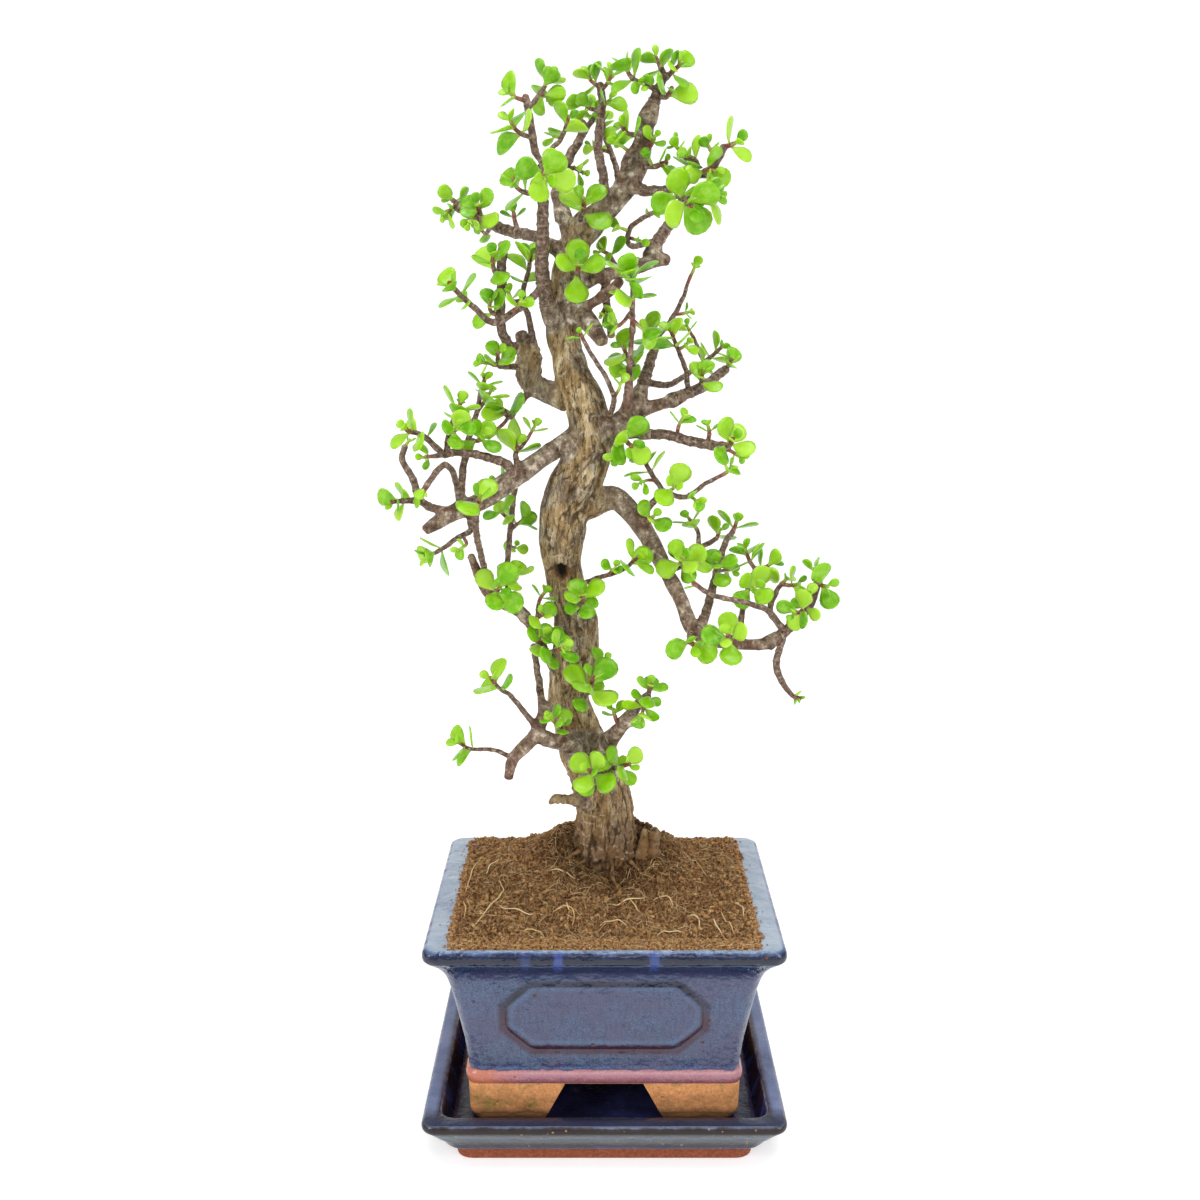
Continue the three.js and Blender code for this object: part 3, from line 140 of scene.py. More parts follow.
# %% Floor, world and lights
FLOOR_SIZE = 5.0
BACK_HEIGHT = 2.5
bpy.ops.object.select_all(action="DESELECT")
bpy.ops.mesh.primitive_plane_add(size=FLOOR_SIZE, location=(0, 0, -0.0002))
floor = bpy.context.object
floor.name = "floor"
bpy.ops.object.mode_set(mode="EDIT")
bpy.ops.mesh.select_all(action="DESELECT")
bpy.ops.object.mode_set(mode="OBJECT")
for edge in floor.data.edges:
    edge.select = all(floor.data.vertices[i].co.y > 0 for i in edge.vertices)
bpy.ops.object.mode_set(mode="EDIT")
bpy.ops.mesh.extrude_edges_move(TRANSFORM_OT_translate={"value": (0, 0.4, BACK_HEIGHT)})
bpy.ops.object.mode_set(mode="OBJECT")
floor_paper, add, finish = new_material("white_studio_paper")
finish(Base_Color="#E8E8E8", Roughness=0.9, Emission_Color="#FFFFFF", Emission_Strength=0.42)
coat(floor_paper, floor)

world = bpy.data.worlds.new("soft_room")
world.use_nodes = True
fill(world.node_tree.nodes["Background"], Color="#FFFFFF", Strength=0.55)
bpy.context.scene.world = world
bpy.context.scene.view_settings.view_transform = "Standard"


TREE_MIDDLE = Vector((0.0, 0.0, 0.25))


def light_panel(name, place, width, height, power):
    """A soft rectangular light that faces the middle of the tree."""
    data = bpy.data.lights.new(name, "AREA")
    data.shape = "RECTANGLE"
    data.size = width
    data.size_y = height
    data.energy = power
    panel = bpy.data.objects.new(name, data)
    panel.location = place
    panel.rotation_euler = (TREE_MIDDLE - Vector(place)).to_track_quat("-Z", "Y").to_euler()
    bpy.context.scene.collection.objects.link(panel)


light_panel("panel_left", (-1.1, -0.9, 0.9), 0.45, 1.0, 10.0)
light_panel("panel_right", (1.15, -0.8, 0.8), 0.35, 1.0, 7.0)
light_panel("panel_top", (0.1, -0.1, 1.7), 0.9, 0.9, 12.0)
light_panel("panel_front", (0.2, -1.5, 1.1), 0.8, 0.5, 3.5)

# %% [markdown]
# ## The glazed pot
# The pot is slip cast and fired as one piece. Its body flares in a soft curve to a wide flat rim, front and
# back have a shallow panel with cut corners, and four bare feet stand under a raised band.
# One section of the body is drawn as a rectangle, then pulled up ring by ring, so each level gets its own
# width. The upright edges are rounded all at once, and a small bevel on every other edge leaves them as
# soft as glaze does.

# %% Sizes of the pot, from its solid piece
def millimetres(node):
    """The lowest and highest corner of a solid piece, in millimetres."""
    low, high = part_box(node)
    return [v / MM for v in low], [v / MM for v in high]


pot_low, pot_high = millimetres("pot")
POT_HALF_WIDTH = pot_high[0]
POT_HALF_DEPTH = pot_high[1]
RIM_RISE = 1.5  # the glaze pools on the rim, above the solid piece
POT_RIM_Z = pot_high[2] + RIM_RISE
POT_BASE_Z = pot_low[2]
RIM_BACK = POT_HALF_WIDTH - POT_HALF_DEPTH  # how much nearer the middle the front is than the side
BAND_BOTTOM_Z = 33
POT_FLOOR_Z = 41
PANEL_MIDDLE_Z = 70
PANEL_SUNK = 1.3
# half the width at each height, from under the band to the rim
POT_OUTSIDE = [
    (61, 32.5), (64, 33), (65.4, 33.9), (65.8, 35.2), (65.8, 37.6), (65.3, 39), (64.3, 40), (64.5, 43),
    (66, 56), (68.5, 71), (69.9, 79), (71.2, 85), (72.6, 90.5), (74.4, 95), (77.2, 99), (80, 102),
    (81.5, 103.4), (82.3, 104.6), (82.6, 106.2), (82.4, 108), (81.8, 109.2), (80.8, 110.1),
    (79.4, POT_RIM_Z),
]
POT_INSIDE = [(70.9, POT_RIM_Z), (70.3, 109.7), (69.6, 104), (58, 41)]
# corner radius at each height
POT_CORNERS = [(32.5, 5), (35, 7), (38, 7), (42, 5.5), (92, 5), (109, 5.5)]
print("pot", [round(v, 1) for v in pot_low], [round(v, 1) for v in pot_high])


# %% Helpers for modelling
def nothing_selected():
    """Everything out of edit mode and out of the selection."""
    if bpy.context.object and bpy.context.object.mode != "OBJECT":
        bpy.ops.object.mode_set(mode="OBJECT")
    bpy.ops.object.select_all(action="DESELECT")


def pick_only(piece):
    nothing_selected()
    bpy.context.view_layer.objects.active = piece
    piece.select_set(True)


def edit_all():
    """Into edit mode, with the whole mesh selected."""
    bpy.ops.object.mode_set(mode="EDIT")
    bpy.ops.mesh.select_all(action="SELECT")


def close_edit():
    """Turns every face outwards and leaves edit mode."""
    bpy.ops.mesh.select_all(action="SELECT")
    bpy.ops.mesh.normals_make_consistent(inside=False)
    bpy.ops.object.mode_set(mode="OBJECT")


def stacked_rings(name, rings):
    """A closed solid pulled up from a level rectangle. Each ring is half its width, half its depth and its
    height, in millimetres."""
    nothing_selected()
    half_x, half_y, z = rings[0]
    bpy.ops.mesh.primitive_plane_add(size=1, location=(0, 0, z * MM))
    piece = bpy.context.object
    piece.name = name
    bpy.ops.transform.resize(value=(2 * half_x * MM, 2 * half_y * MM, 1))
    bpy.ops.object.transform_apply()
    edit_all()
    for next_x, next_y, next_z in rings[1:]:
        bpy.ops.mesh.extrude_region_move(TRANSFORM_OT_translate={"value": (0, 0, (next_z - z) * MM)})
        shrink = (next_x / half_x, next_y / half_y, 1)
        bpy.ops.transform.resize(value=shrink, center_override=(0, 0, next_z * MM))
        half_x, half_y, z = next_x, next_y, next_z
    close_edit()
    return piece


def modified(piece, kind, **settings):
    """Adds a modifier with its settings and applies it."""
    pick_only(piece)
    modifier = piece.modifiers.new(kind.lower(), kind)
    for key, value in settings.items():
        setattr(modifier, key, value)
    bpy.ops.object.modifier_apply(modifier=modifier.name)


def round_corners(piece, radius_at, steps):
    """Rounds the upright corner edges. The radius at a height comes from rows of (height, radius)."""
    mesh = piece.data
    weights = mesh.attributes.get("bevel_weight_edge")
    weights = weights or mesh.attributes.new("bevel_weight_edge", "FLOAT", "EDGE")
    heights, radii = zip(*radius_at)
    for edge in mesh.edges:
        a, b = (mesh.vertices[i].co / MM for i in edge.vertices)
        rises = abs(a.z - b.z) > 0.3 or (abs(abs(a.x) - abs(b.x)) > 0.01 and abs(abs(a.y) - abs(b.y)) > 0.01)
        crosses_middle = a.x * b.x < 0 or a.y * b.y < 0
        corner = rises and not crosses_middle
        radius = float(np.interp((a.z + b.z) / 2, heights, radii))
        weights.data[edge.index].value = radius / max(radii) if corner else 0
    settings = {"limit_method": "WEIGHT", "offset_type": "OFFSET", "use_clamp_overlap": False}
    modified(piece, "BEVEL", width=max(radii) * MM, segments=steps, **settings)


def combined(piece, other, operation="DIFFERENCE"):
    """Takes another body's space out of the piece, or joins the two."""
    modified(piece, "BOOLEAN", operation=operation, object=other, solver="EXACT")
    bpy.data.objects.remove(other)


def softened(piece, width, segments, bevel_from, smooth_below):
    """Bevels the sharp edges and shades the rest smooth. The last two are angles in degrees."""
    angle = math.radians(bevel_from)
    modified(piece, "BEVEL", width=width * MM, segments=segments, limit_method="ANGLE", angle_limit=angle)
    pick_only(piece)
    bpy.ops.object.shade_smooth_by_angle(angle=math.radians(smooth_below))


def block(low, high):
    """A box between two corners in millimetres."""
    nothing_selected()
    middle = [(a + b) / 2 * MM for a, b in zip(low, high)]
    bpy.ops.mesh.primitive_cube_add(size=1, location=middle)
    bpy.ops.transform.resize(value=[(b - a) * MM for a, b in zip(low, high)])
    bpy.ops.object.transform_apply()
    return bpy.context.object


def wedge(bottom_half, top_half, half_length, z0, z1, turned=False):
    """A bar with sloping sides, for the arch between two feet. It lies along Y, or along X if turned."""
    piece = block((-bottom_half, -half_length, z0), (bottom_half, half_length, z1))
    for vertex in piece.data.vertices:
        if vertex.co.z > (z0 + z1) / 2 * MM:
            vertex.co.x *= top_half / bottom_half
    if turned:
        for vertex in piece.data.vertices:
            vertex.co = Vector((-vertex.co.y, vertex.co.x, vertex.co.z))
    return piece


# %% The pot's body
pot_rings = [(half, half - RIM_BACK, z) for half, z in POT_OUTSIDE + POT_INSIDE]
pot_piece = stacked_rings("glazed_pot", pot_rings)
round_corners(pot_piece, POT_CORNERS, 6)


# %% The panel, front and back
def panel_cutter(side):
    """A block with its corners cut, sunk a little into the sloping front (side -1) or back (side 1)."""
    half_width, half_height, corner, slope = 46, 18.2, 12, 10
    depth = 12
    nothing_selected()
    bpy.ops.mesh.primitive_plane_add(size=1)
    piece = bpy.context.object
    bpy.ops.transform.resize(value=(2 * half_width * MM, 2 * half_height * MM, 1))
    bpy.ops.object.transform_apply(location=False, rotation=False, scale=True)
    edit_all()
    bpy.ops.mesh.bevel(offset=corner * MM, segments=1, affect="VERTICES")
    bpy.ops.mesh.select_all(action="SELECT")
    bpy.ops.mesh.bevel(offset=3.0 * MM, segments=4, affect="VERTICES")
    bpy.ops.mesh.select_all(action="SELECT")
    bpy.ops.mesh.extrude_region_move(TRANSFORM_OT_translate={"value": (0, 0, depth * MM)})
    close_edit()
    face_y = 68.5 - RIM_BACK
    turn = math.radians(90 + slope) if side < 0 else math.radians(-90 - slope)
    piece.rotation_euler = (turn, 0, 0)
    piece.location = (0, side * (face_y - PANEL_SUNK) * MM, PANEL_MIDDLE_Z * MM)
    bpy.ops.object.transform_apply()
    return piece


for side in (-1, 1):
    combined(pot_piece, panel_cutter(side))

# %% The feet
FEET_RINGS = [
    (61, 44.4, POT_BASE_Z), (62.6, 45.6, POT_BASE_Z + 2), (64.2, 46.6, POT_BASE_Z + 4.6),
    (64.6, 47.1, BAND_BOTTOM_Z + 0.8),
]
ARCH_FOOT = 29.5  # half the width of the front arch at its foot and at its top
ARCH_TOP = 18.5
SIDE_ARCH_FOOT = 20
SIDE_ARCH_TOP = 10
DRAIN_RADIUS = 7
feet = stacked_rings("feet", FEET_RINGS)
round_corners(feet, [(POT_BASE_Z, 4), (BAND_BOTTOM_Z, 5)], 4)
combined(pot_piece, feet, "UNION")
below = POT_BASE_Z - 1
combined(pot_piece, wedge(ARCH_FOOT, ARCH_TOP, 70, below, BAND_BOTTOM_Z))
combined(pot_piece, wedge(SIDE_ARCH_FOOT, SIDE_ARCH_TOP, 90, below, BAND_BOTTOM_Z, turned=True))
combined(pot_piece, block((-47, -31, below), (47, 31, BAND_BOTTOM_Z)))
nothing_selected()
size = {"radius": DRAIN_RADIUS * MM, "depth": 30 * MM}
bpy.ops.mesh.primitive_cylinder_add(vertices=32, location=(0, 0, POT_FLOOR_Z * MM), **size)
combined(pot_piece, bpy.context.object)
softened(pot_piece, width=0.7, segments=3, bevel_from=28, smooth_below=35)
print("pot faces", len(pot_piece.data.polygons))

# %% [markdown]
# ## The saucer
# The saucer comes from a mould as well: a shallow tray with a flat rim, on a bare clay foot. It is pulled up
# from its foot in the same way as the pot, over the rim and down to the inside floor.

# %% The saucer's body
saucer_high = millimetres("saucer")[1]
SAUCER_HALF = saucer_high[0]
SAUCER_BACK = SAUCER_HALF - saucer_high[1]
SAUCER_FLOOR_Z = 12
# how far inside the rim's edge, height, and how much further out the front and the back stand there
SAUCER_RINGS = [
    (15, 0, 4), (14.9, 6.6, 4), (11.6, 7, 3.1), (10.2, 7.7, 2.8), (9.2, 9, 2.3), (7.9, 11, 1.7),
    (5.6, 13.4, 1), (2.8, 16.8, 0.4), (1.2, 18.8, 0), (0.3, 19.9, 0), (0, 21, 0), (0, 22.2, 0),
    (0.4, 23.3, 0), (1.3, 24, 0), (7.2, 24, 0), (8.1, 23.7, 0), (8.8, 22.6, 0), (11.7, 14.2, 0),
    (12.5, 12.7, 0), (14.2, 12.1, 0), (17.5, SAUCER_FLOOR_Z, 0),
]
SAUCER_CORNERS = [(0, 6), (7, 7), (13, 7), (18.5, 6), (24, 5)]
saucer_rings = [(SAUCER_HALF - i, SAUCER_HALF - i - SAUCER_BACK + out, z) for i, z, out in SAUCER_RINGS]
saucer_piece = stacked_rings("glazed_saucer", saucer_rings)
round_corners(saucer_piece, SAUCER_CORNERS, 6)
softened(saucer_piece, width=0.4, segments=2, bevel_from=35, smooth_below=40)
print("saucer faces", len(saucer_piece.data.polygons))

# %% [markdown]
# ## The tree's routes
# A trunk keeps its direction only for a few centimetres between two old cuts, so the wood is a set of bent
# routes with a thickness at every bend. Millimetres: the trunk and its limbs are rows of x, y, z and radius.
# A spray is a few thin twigs, each with its radius at the foot and at the tip, the number of leaf pairs, the
# length of its leaves and its route. The first twig of a spray starts on a limb, the others on earlier ones.

# %% Routes of the limbs and the twigs
LIMBS = [
  ["trunk", [2, 12, 97, 16.5], [2, 12, 119, 16.5], [1, 11, 134, 15.5], [0, 10, 151, 13.9],
    [-3, 8, 166, 13.3], [-9, 6, 180, 12.7], [-14, 5, 195, 10.6], [-17, 5, 208, 10.1], [-15, 4, 223, 11],
    [-13, 4, 244, 10.7], [-17, 3, 259, 9], [-19, 3, 271, 8.9], [-20, 1, 283, 10.2], [-19, 0, 295, 11.3],
    [-17, -1, 305, 11.5], [-11, -3, 317, 11.4], [-7, -2, 328, 10.9], [-6, -2, 337, 10], [-9, 0, 349, 9.1],
    [-14, 1, 360, 8.6], [-17, 2, 372, 7.4], [-19, 3, 381, 7.6], [-17, 2, 394, 7.8], [-16, 2, 403, 7.8],
    [-14, 1, 415, 7.3], [-12, 0, 422, 6.2]],
  ["leader", [-12, 0, 422, 5.7], [-2, -1, 431, 5.3], [7, -2, 440, 5.2], [13, -4, 449, 5.2],
    [16, -6, 458, 4.3], [18, -9, 469, 3.4]],
  ["left_fork", [-13, 0, 420, 4], [-18, 4, 429, 3.1]],
  ["left_stump", [-17, 3, 351, 5], [-27, 7, 354, 4.6], [-33, 9, 357, 5], [-35, 10, 363, 6],
    [-34, 10, 371, 5.5]],
  ["knuckle", [-34, 10, 369, 4.1], [-38, 7, 380, 2.7]],
  ["big_left", [-10, 0, 334, 5], [-22, -7, 329, 4.3], [-36, -15, 320, 4.5], [-44, -20, 315, 4.9],
    [-55, -26, 308, 4.2], [-66, -31, 304, 3.6], [-73, -34, 300, 3.2], [-78, -36, 297, 2.3]],
  ["low_left", [-21, 0, 222, 3.3], [-27, -2, 231, 2.4], [-33, -6, 245, 2.6], [-39, -10, 254, 3.2],
    [-46, -13, 259, 3.2], [-52, -16, 263, 2.7], [-56, -19, 271, 2.3], [-60, -22, 283, 1.8]],
  ["front_low", [-7, 0, 182, 4.8], [-16, -13, 190, 3.8], [-24, -21, 195, 3.7], [-30, -26, 199, 3.2]],
  ["spur_low", [-26, -20, 214, 2.8], [-28, -22, 208, 3], [-32, -25, 199, 3.2], [-37, -27, 194, 3.2],
    [-42, -30, 189, 2.8], [-44, -33, 181, 2.3]],
  ["right_low", [-2, 0, 183, 4.8], [4, -9, 193, 3.8], [10, -18, 203, 3]],
  ["right_arch", [-12, 2, 302, 6.5], [0, 1, 305, 5.5], [6, 0, 305, 5.1], [14, -2, 297, 4.8],
    [21, -6, 287, 4.4], [28, -11, 274, 3.7], [35, -16, 261, 3.4], [40, -20, 249, 3.6], [48, -23, 244, 3],
    [63, -27, 243, 2.5], [73, -30, 244, 2.7]],
  ["mid_node", [-2, 0, 338, 5], [7, -6, 338, 4.5]],
  ["mid_low", [5, -4, 337, 3.6], [16, -8, 336, 2.2]],
  ["mid_high", [3, -3, 337, 4.1], [16, 3, 345, 3.6], [30, 8, 349, 2.8]],
  ["mid_up", [5, -3, 339, 3.6], [15, 5, 349, 3.2]],
  ["mid_stub", [5, -5, 338, 3.2], [10, -9, 349, 2.5], [11, -16, 367, 1.5], [12, -22, 384, 1.3]],
  ["short_stub", [-14, -2, 392, 4], [-6, -11, 384, 4], [-1, -18, 377, 3]],
  ["upper_right", [-14, 2, 401, 4], [-2, 6, 405, 2.9], [12, 12, 408, 3.2], [23, 16, 412, 3.4],
    [29, 18, 412, 2.7]],
  ["upper_front", [-14, -2, 391, 2.7], [-6, -8, 393, 2.2], [3, -15, 399, 2.6], [7, -18, 403, 2.2]],
  ["dead_knob", [-7, 0, 157, 3.9], [-18, -6, 160, 2.3], [-23, -7, 161, 2.1], [-26, -8, 159, 1.5]],
]
SPRAYS = [
  ["leader_crown", [3.4, 1.3, 0, 0, [18, -9, 469], [21, -10, 477], [24, -12, 484], [27, -12, 487]],
    [1.3, 0.9, 3, 9, [26, -12, 485], [23, -10, 491], [21, -8, 495]],
    [1.2, 0.8, 3, 9, [27, -12, 486], [30, -16, 489], [32, -18, 491]],
    [1.3, 0.8, 3, 11, [23, -10, 480], [17, -13, 483], [11, -17, 485], [8, -18, 491]],
    [0.8, 0.7, 2, 8, [14, -14, 481], [16, -20, 482]],
    [1.4, 0.9, 4, 12, [22, -10, 477], [26, -14, 478], [28, -18, 481]]],
  ["leader_front", [1.1, 0.8, 3, 7, [18, -6, 457], [20, -15, 459], [21, -18, 462]]],
  ["centre_tall", [2.1, 1.7, 0, 0, [1, -1, 435], [-1, 8, 450], [-3, 14, 461], [-1, 20, 478], [-2, 22, 488]],
    [1, 0.7, 3, 9, [-2, 22, 486], [-6, 24, 490], [-7, 24, 494]],
    [1, 0.7, 3, 9, [-2, 22, 485], [2, 19, 489], [3, 17, 494]],
    [1, 0.7, 3, 9, [-2, 20, 476], [-6, 24, 478], [-11, 28, 482]],
    [0.9, 0.7, 2, 10, [-1, 20, 478], [3, 16, 481]]],
  ["centre_twin", [1.5, 1.1, 4, 10, [3, -1, 436], [6, 14, 448], [3, 20, 459], [0, 24, 467], [-1, 26, 474]],
    [0.8, 0.7, 2, 8, [3, 20, 459], [-4, 24, 461], [-7, 26, 462]]],
  ["centre_front", [1.8, 0.8, 3, 10, [6, -3, 441], [9, -14, 453], [14, -18, 461], [9, -20, 463],
      [7, -20, 466]],
    [0.8, 0.6, 1, 8, [10, -15, 456], [5, -19, 459]]],
  ["left_fork", [3.1, 1.6, 0, 0, [-18, 4, 429], [-21, 9, 441], [-18, 13, 452], [-13, 18, 461],
      [-8, 28, 471]],
    [1.2, 0.8, 3, 7, [-18, 13, 450], [-14, 17, 452], [-9, 20, 450]],
    [1.4, 0.9, 4, 8, [-9, 26, 469], [-5, 32, 475], [-2, 38, 481]],
    [0.9, 0.7, 2, 8, [-8, 28, 471], [-12, 33, 476]]],
  ["red_pole", [3.6, 1.9, 0, 0, [-22, -4, 385], [-25, -7, 392], [-27, -14, 407], [-26, -24, 430],
      [-26, -30, 449]],
    [1.3, 0.8, 3, 11, [-27, -27, 440], [-32, -32, 438], [-36, -34, 440], [-38, -34, 444]],
    [1.8, 1, 0, 0, [-26, -30, 446], [-26, -31, 450]],
    [1.6, 1.5, 0, 0, [-26, -31, 450], [-29, -30, 456], [-31, -26, 468], [-33, -22, 477]],
    [1.1, 0.8, 4, 12, [-26, -31, 450], [-25, -42, 445], [-24, -50, 442]],
    [1, 0.7, 3, 10, [-33, -23, 475], [-37, -26, 476], [-40, -28, 478]],
    [1, 0.8, 4, 12, [-30, -29, 460], [-36, -33, 462], [-39, -35, 467]],
    [1.1, 0.8, 3, 9, [-31, -25, 472], [-26, -18, 480], [-23, -14, 487]],
    [0.9, 0.7, 2, 10, [-27, -19, 479], [-24, -12, 478]],
    [1.3, 0.8, 3, 10, [-26, -29, 444], [-22, -24, 456], [-18, -20, 461], [-15, -16, 470]],
    [0.8, 0.6, 1, 8, [-18, -20, 461], [-22, -17, 462]],
    [1.6, 1.5, 0, 0, [-26, -12, 402], [-33, -18, 394], [-45, -24, 386], [-50, -26, 386]],
    [1.4, 1, 4, 10, [-50, -26, 386], [-55, -30, 391], [-62, -34, 398], [-65, -36, 402]],
    [0.9, 0.7, 2, 9, [-40, -20, 387], [-38, -28, 391], [-35, -32, 395]]],
  ["high_right", [2.6, 1.2, 0, 0, [11, -5, 443], [19, -12, 440], [30, -19, 441], [38, -26, 445],
      [42, -28, 447]],
    [1.8, 1.2, 4, 11, [35, -24, 446], [38, -26, 450], [34, -28, 453]],
    [1, 0.7, 2, 9, [36, -26, 449], [31, -22, 456], [29, -20, 459]],
    [1.2, 0.9, 3, 10, [40, -28, 447], [42, -34, 447], [45, -37, 446]],
    [1.9, 1.7, 0, 0, [39, -26, 445], [43, -30, 446], [46, -32, 451], [49, -33, 456]],
    [1.1, 0.8, 4, 11, [49, -33, 456], [53, -36, 457], [54, -37, 458]],
    [0.9, 0.7, 2, 9, [46, -32, 451], [43, -30, 456], [42, -28, 458]],
    [1.5, 1, 4, 14, [30, -19, 441], [31, -34, 436], [35, -46, 432]],
    [1, 0.8, 3, 11, [32, -36, 435], [39, -42, 436], [46, -44, 435]]],
  ["high_right_inner", [1.4, 1.1, 2, 8, [13, -5, 446], [17, -12, 450], [22, -17, 450], [26, -20, 451]],
    [0.7, 0.6, 1, 6, [20, -15, 450], [18, -18, 454]]],
  ["upper_lift", [3.2, 2.3, 0, 0, [21, 16, 413], [24, 21, 420], [29, 27, 427], [34, 32, 433]],
    [1.4, 1, 3, 8, [33, 31, 432], [32, 34, 437], [30, 36, 440]],
    [1.4, 1, 2, 7, [20, 16, 413], [12, 8, 418], [11, 6, 425], [17, 8, 430], [23, 12, 433]],
    [0.8, 0.6, 1, 7, [11, 6, 424], [6, 4, 426]],
    [0.8, 0.6, 1, 6, [12, 6, 421], [16, 0, 420]]],
  ["upper_arm_low", [1.2, 0.8, 3, 9, [6, 8, 408], [2, 2, 414], [-2, -2, 416]]],
  ["left_arm", [2.6, 2.3, 0, 0, [-20, 0, 416], [-31, 6, 422], [-40, 10, 424], [-47, 14, 426], [-56, 18, 430],
      [-67, 22, 436]],
    [1.6, 0.9, 4, 9, [-63, 21, 435], [-68, 24, 438], [-71, 27, 440]],
    [0.9, 0.7, 3, 7, [-66, 24, 437], [-70, 20, 434], [-73, 17, 431]],
    [1.3, 0.9, 3, 11, [-55, 17, 429], [-56, 10, 433], [-56, 6, 436]],
    [0.8, 0.7, 2, 8, [-56, 11, 432], [-59, 4, 429], [-60, 2, 427]],
    [1.2, 0.8, 2, 9, [-39, 10, 424], [-40, 12, 429], [-41, 14, 434]],
    [1.1, 0.8, 2, 9, [-51, 16, 427], [-54, 24, 424], [-57, 30, 426]]],
  ["rod_left", [2.2, 2.2, 0, 0, [-34, 8, 371], [-43, 0, 375], [-46, -4, 384], [-45, -8, 407],
      [-44, -10, 418]],
    [1.2, 0.8, 3, 12, [-45, -7, 401], [-48, -14, 408], [-48, -18, 414]],
    [1.1, 0.8, 3, 10, [-46, -5, 387], [-50, -10, 390], [-50, -12, 395]]],
  ["rod_inner", [1.6, 0.8, 4, 12, [-31, 6, 371], [-34, 0, 387], [-36, -4, 397], [-33, -8, 408],
      [-32, -10, 415]],
    [1, 0.7, 2, 9, [-36, -3, 395], [-40, -10, 394], [-42, -13, 398]]],
  ["stump_left", [1.6, 0.9, 3, 10, [-34, 9, 364], [-41, 2, 365], [-47, -6, 366], [-47, -12, 372]],
    [0.9, 0.7, 2, 8, [-47, -5, 366], [-51, -10, 367], [-55, -12, 368]]],
  ["stump_low", [1.7, 1.1, 3, 12, [-33, 8, 355], [-39, 2, 348], [-43, -2, 343], [-46, -6, 347]],
    [0.9, 0.7, 2, 8, [-42, -1, 344], [-47, -8, 339], [-51, -12, 337]]],
  ["big_left_upper", [2.2, 1.6, 0, 0, [-38, -21, 319], [-44, -26, 325], [-54, -32, 329], [-64, -36, 331],
      [-69, -38, 330]],
    [1.5, 0.9, 4, 10, [-69, -38, 330], [-76, -42, 338], [-82, -46, 341], [-84, -48, 343]],
    [1.2, 0.7, 2, 8, [-68, -38, 330], [-74, -34, 329], [-79, -30, 328]],
    [1.4, 0.8, 3, 11, [-68, -38, 330], [-66, -34, 341], [-63, -30, 349], [-62, -28, 352]],
    [0.9, 0.7, 3, 9, [-66, -35, 340], [-63, -42, 341], [-61, -46, 343]]],
  ["big_left_drop", [1.5, 1.2, 1, 6, [-63, -30, 305], [-64, -40, 320], [-67, -46, 327], [-71, -48, 324],
      [-77, -48, 316]]],
  ["big_left_pole", [1.9, 0.9, 3, 9, [-63, -30, 306], [-63, -24, 318], [-60, -20, 334], [-56, -14, 349],
      [-53, -10, 361]],
    [1, 0.7, 3, 10, [-57, -15, 346], [-53, -12, 351], [-50, -10, 356]],
    [1, 0.7, 3, 10, [-60, -20, 335], [-55, -28, 335], [-52, -32, 338]]],
  ["big_left_tail", [2, 1.3, 0, 0, [-68, -33, 304], [-77, -28, 306], [-82, -24, 309], [-85, -20, 317],
      [-90, -16, 325], [-89, -14, 331]],
    [1.7, 0.8, 4, 9, [-81, -25, 308], [-88, -30, 309], [-93, -34, 309]],
    [0.8, 0.6, 2, 7, [-89, -14, 331], [-87, -12, 334]]],
  ["big_left_low", [1.5, 0.8, 3, 11, [-59, -28, 306], [-59, -32, 296], [-65, -36, 293], [-73, -40, 288],
      [-78, -42, 287]],
    [0.8, 0.7, 2, 8, [-62, -34, 295], [-60, -42, 292], [-63, -46, 290]]],
  ["big_left_inner", [1.7, 0.9, 4, 12, [-38, -17, 319], [-40, -12, 327], [-39, -9, 332]],
    [0.9, 0.7, 2, 9, [-39, -13, 325], [-35, -6, 333], [-31, -3, 340]]],
  ["low_left_rise", [1.3, 1.5, 0, 0, [-52, -17, 265], [-55, -26, 284], [-56, -38, 301], [-54, -42, 309]],
    [1.1, 0.8, 4, 13, [-55, -41, 307], [-53, -46, 314]]],
  ["low_left_top", [1.4, 1.2, 0, 0, [-44, -12, 258], [-45, -6, 273], [-44, -2, 286], [-42, 0, 305],
      [-41, 2, 310]],
    [1, 0.7, 3, 10, [-44, -1, 291], [-39, 4, 294], [-35, 6, 296]],
    [0.9, 0.7, 3, 9, [-43, -1, 295], [-47, -6, 300], [-48, -8, 303]],
    [1.1, 0.7, 3, 9, [-44, -9, 265], [-40, -14, 271], [-40, -16, 276]],
    [0.8, 0.6, 2, 8, [-44, -2, 284], [-42, 6, 281], [-42, 9, 281]],
    [0.8, 0.6, 2, 9, [-41, 1, 308], [-47, 0, 313], [-50, -2, 314]]],
  ["low_left_head", [1.3, 0.9, 4, 13, [-51, -16, 263], [-48, -28, 268], [-46, -34, 271]]],
  ["low_left_knot", [1.5, 0.9, 4, 10, [-34, -6, 247], [-31, -14, 252], [-28, -18, 255]],
    [1, 0.8, 2, 9, [-32, -12, 251], [-30, -8, 259], [-27, -6, 263]]],
  ["riser", [1.9, 1.3, 0, 0, [-28, -22, 208], [-30, -14, 218], [-32, -10, 231], [-33, -10, 238]],
    [1.1, 0.8, 4, 11, [-33, -10, 236], [-30, -16, 242], [-27, -20, 245]],
    [1.2, 0.8, 4, 11, [-32, -10, 233], [-25, -18, 237], [-18, -24, 241]]],
  ["spur_low_left", [1.5, 0.8, 3, 11, [-31, -23, 202], [-42, -32, 220], [-48, -36, 226], [-51, -38, 231]]],
  ["spur_low_tip", [1.2, 0.8, 3, 11, [-42, -30, 190], [-50, -36, 196], [-60, -40, 198], [-66, -42, 202]]],
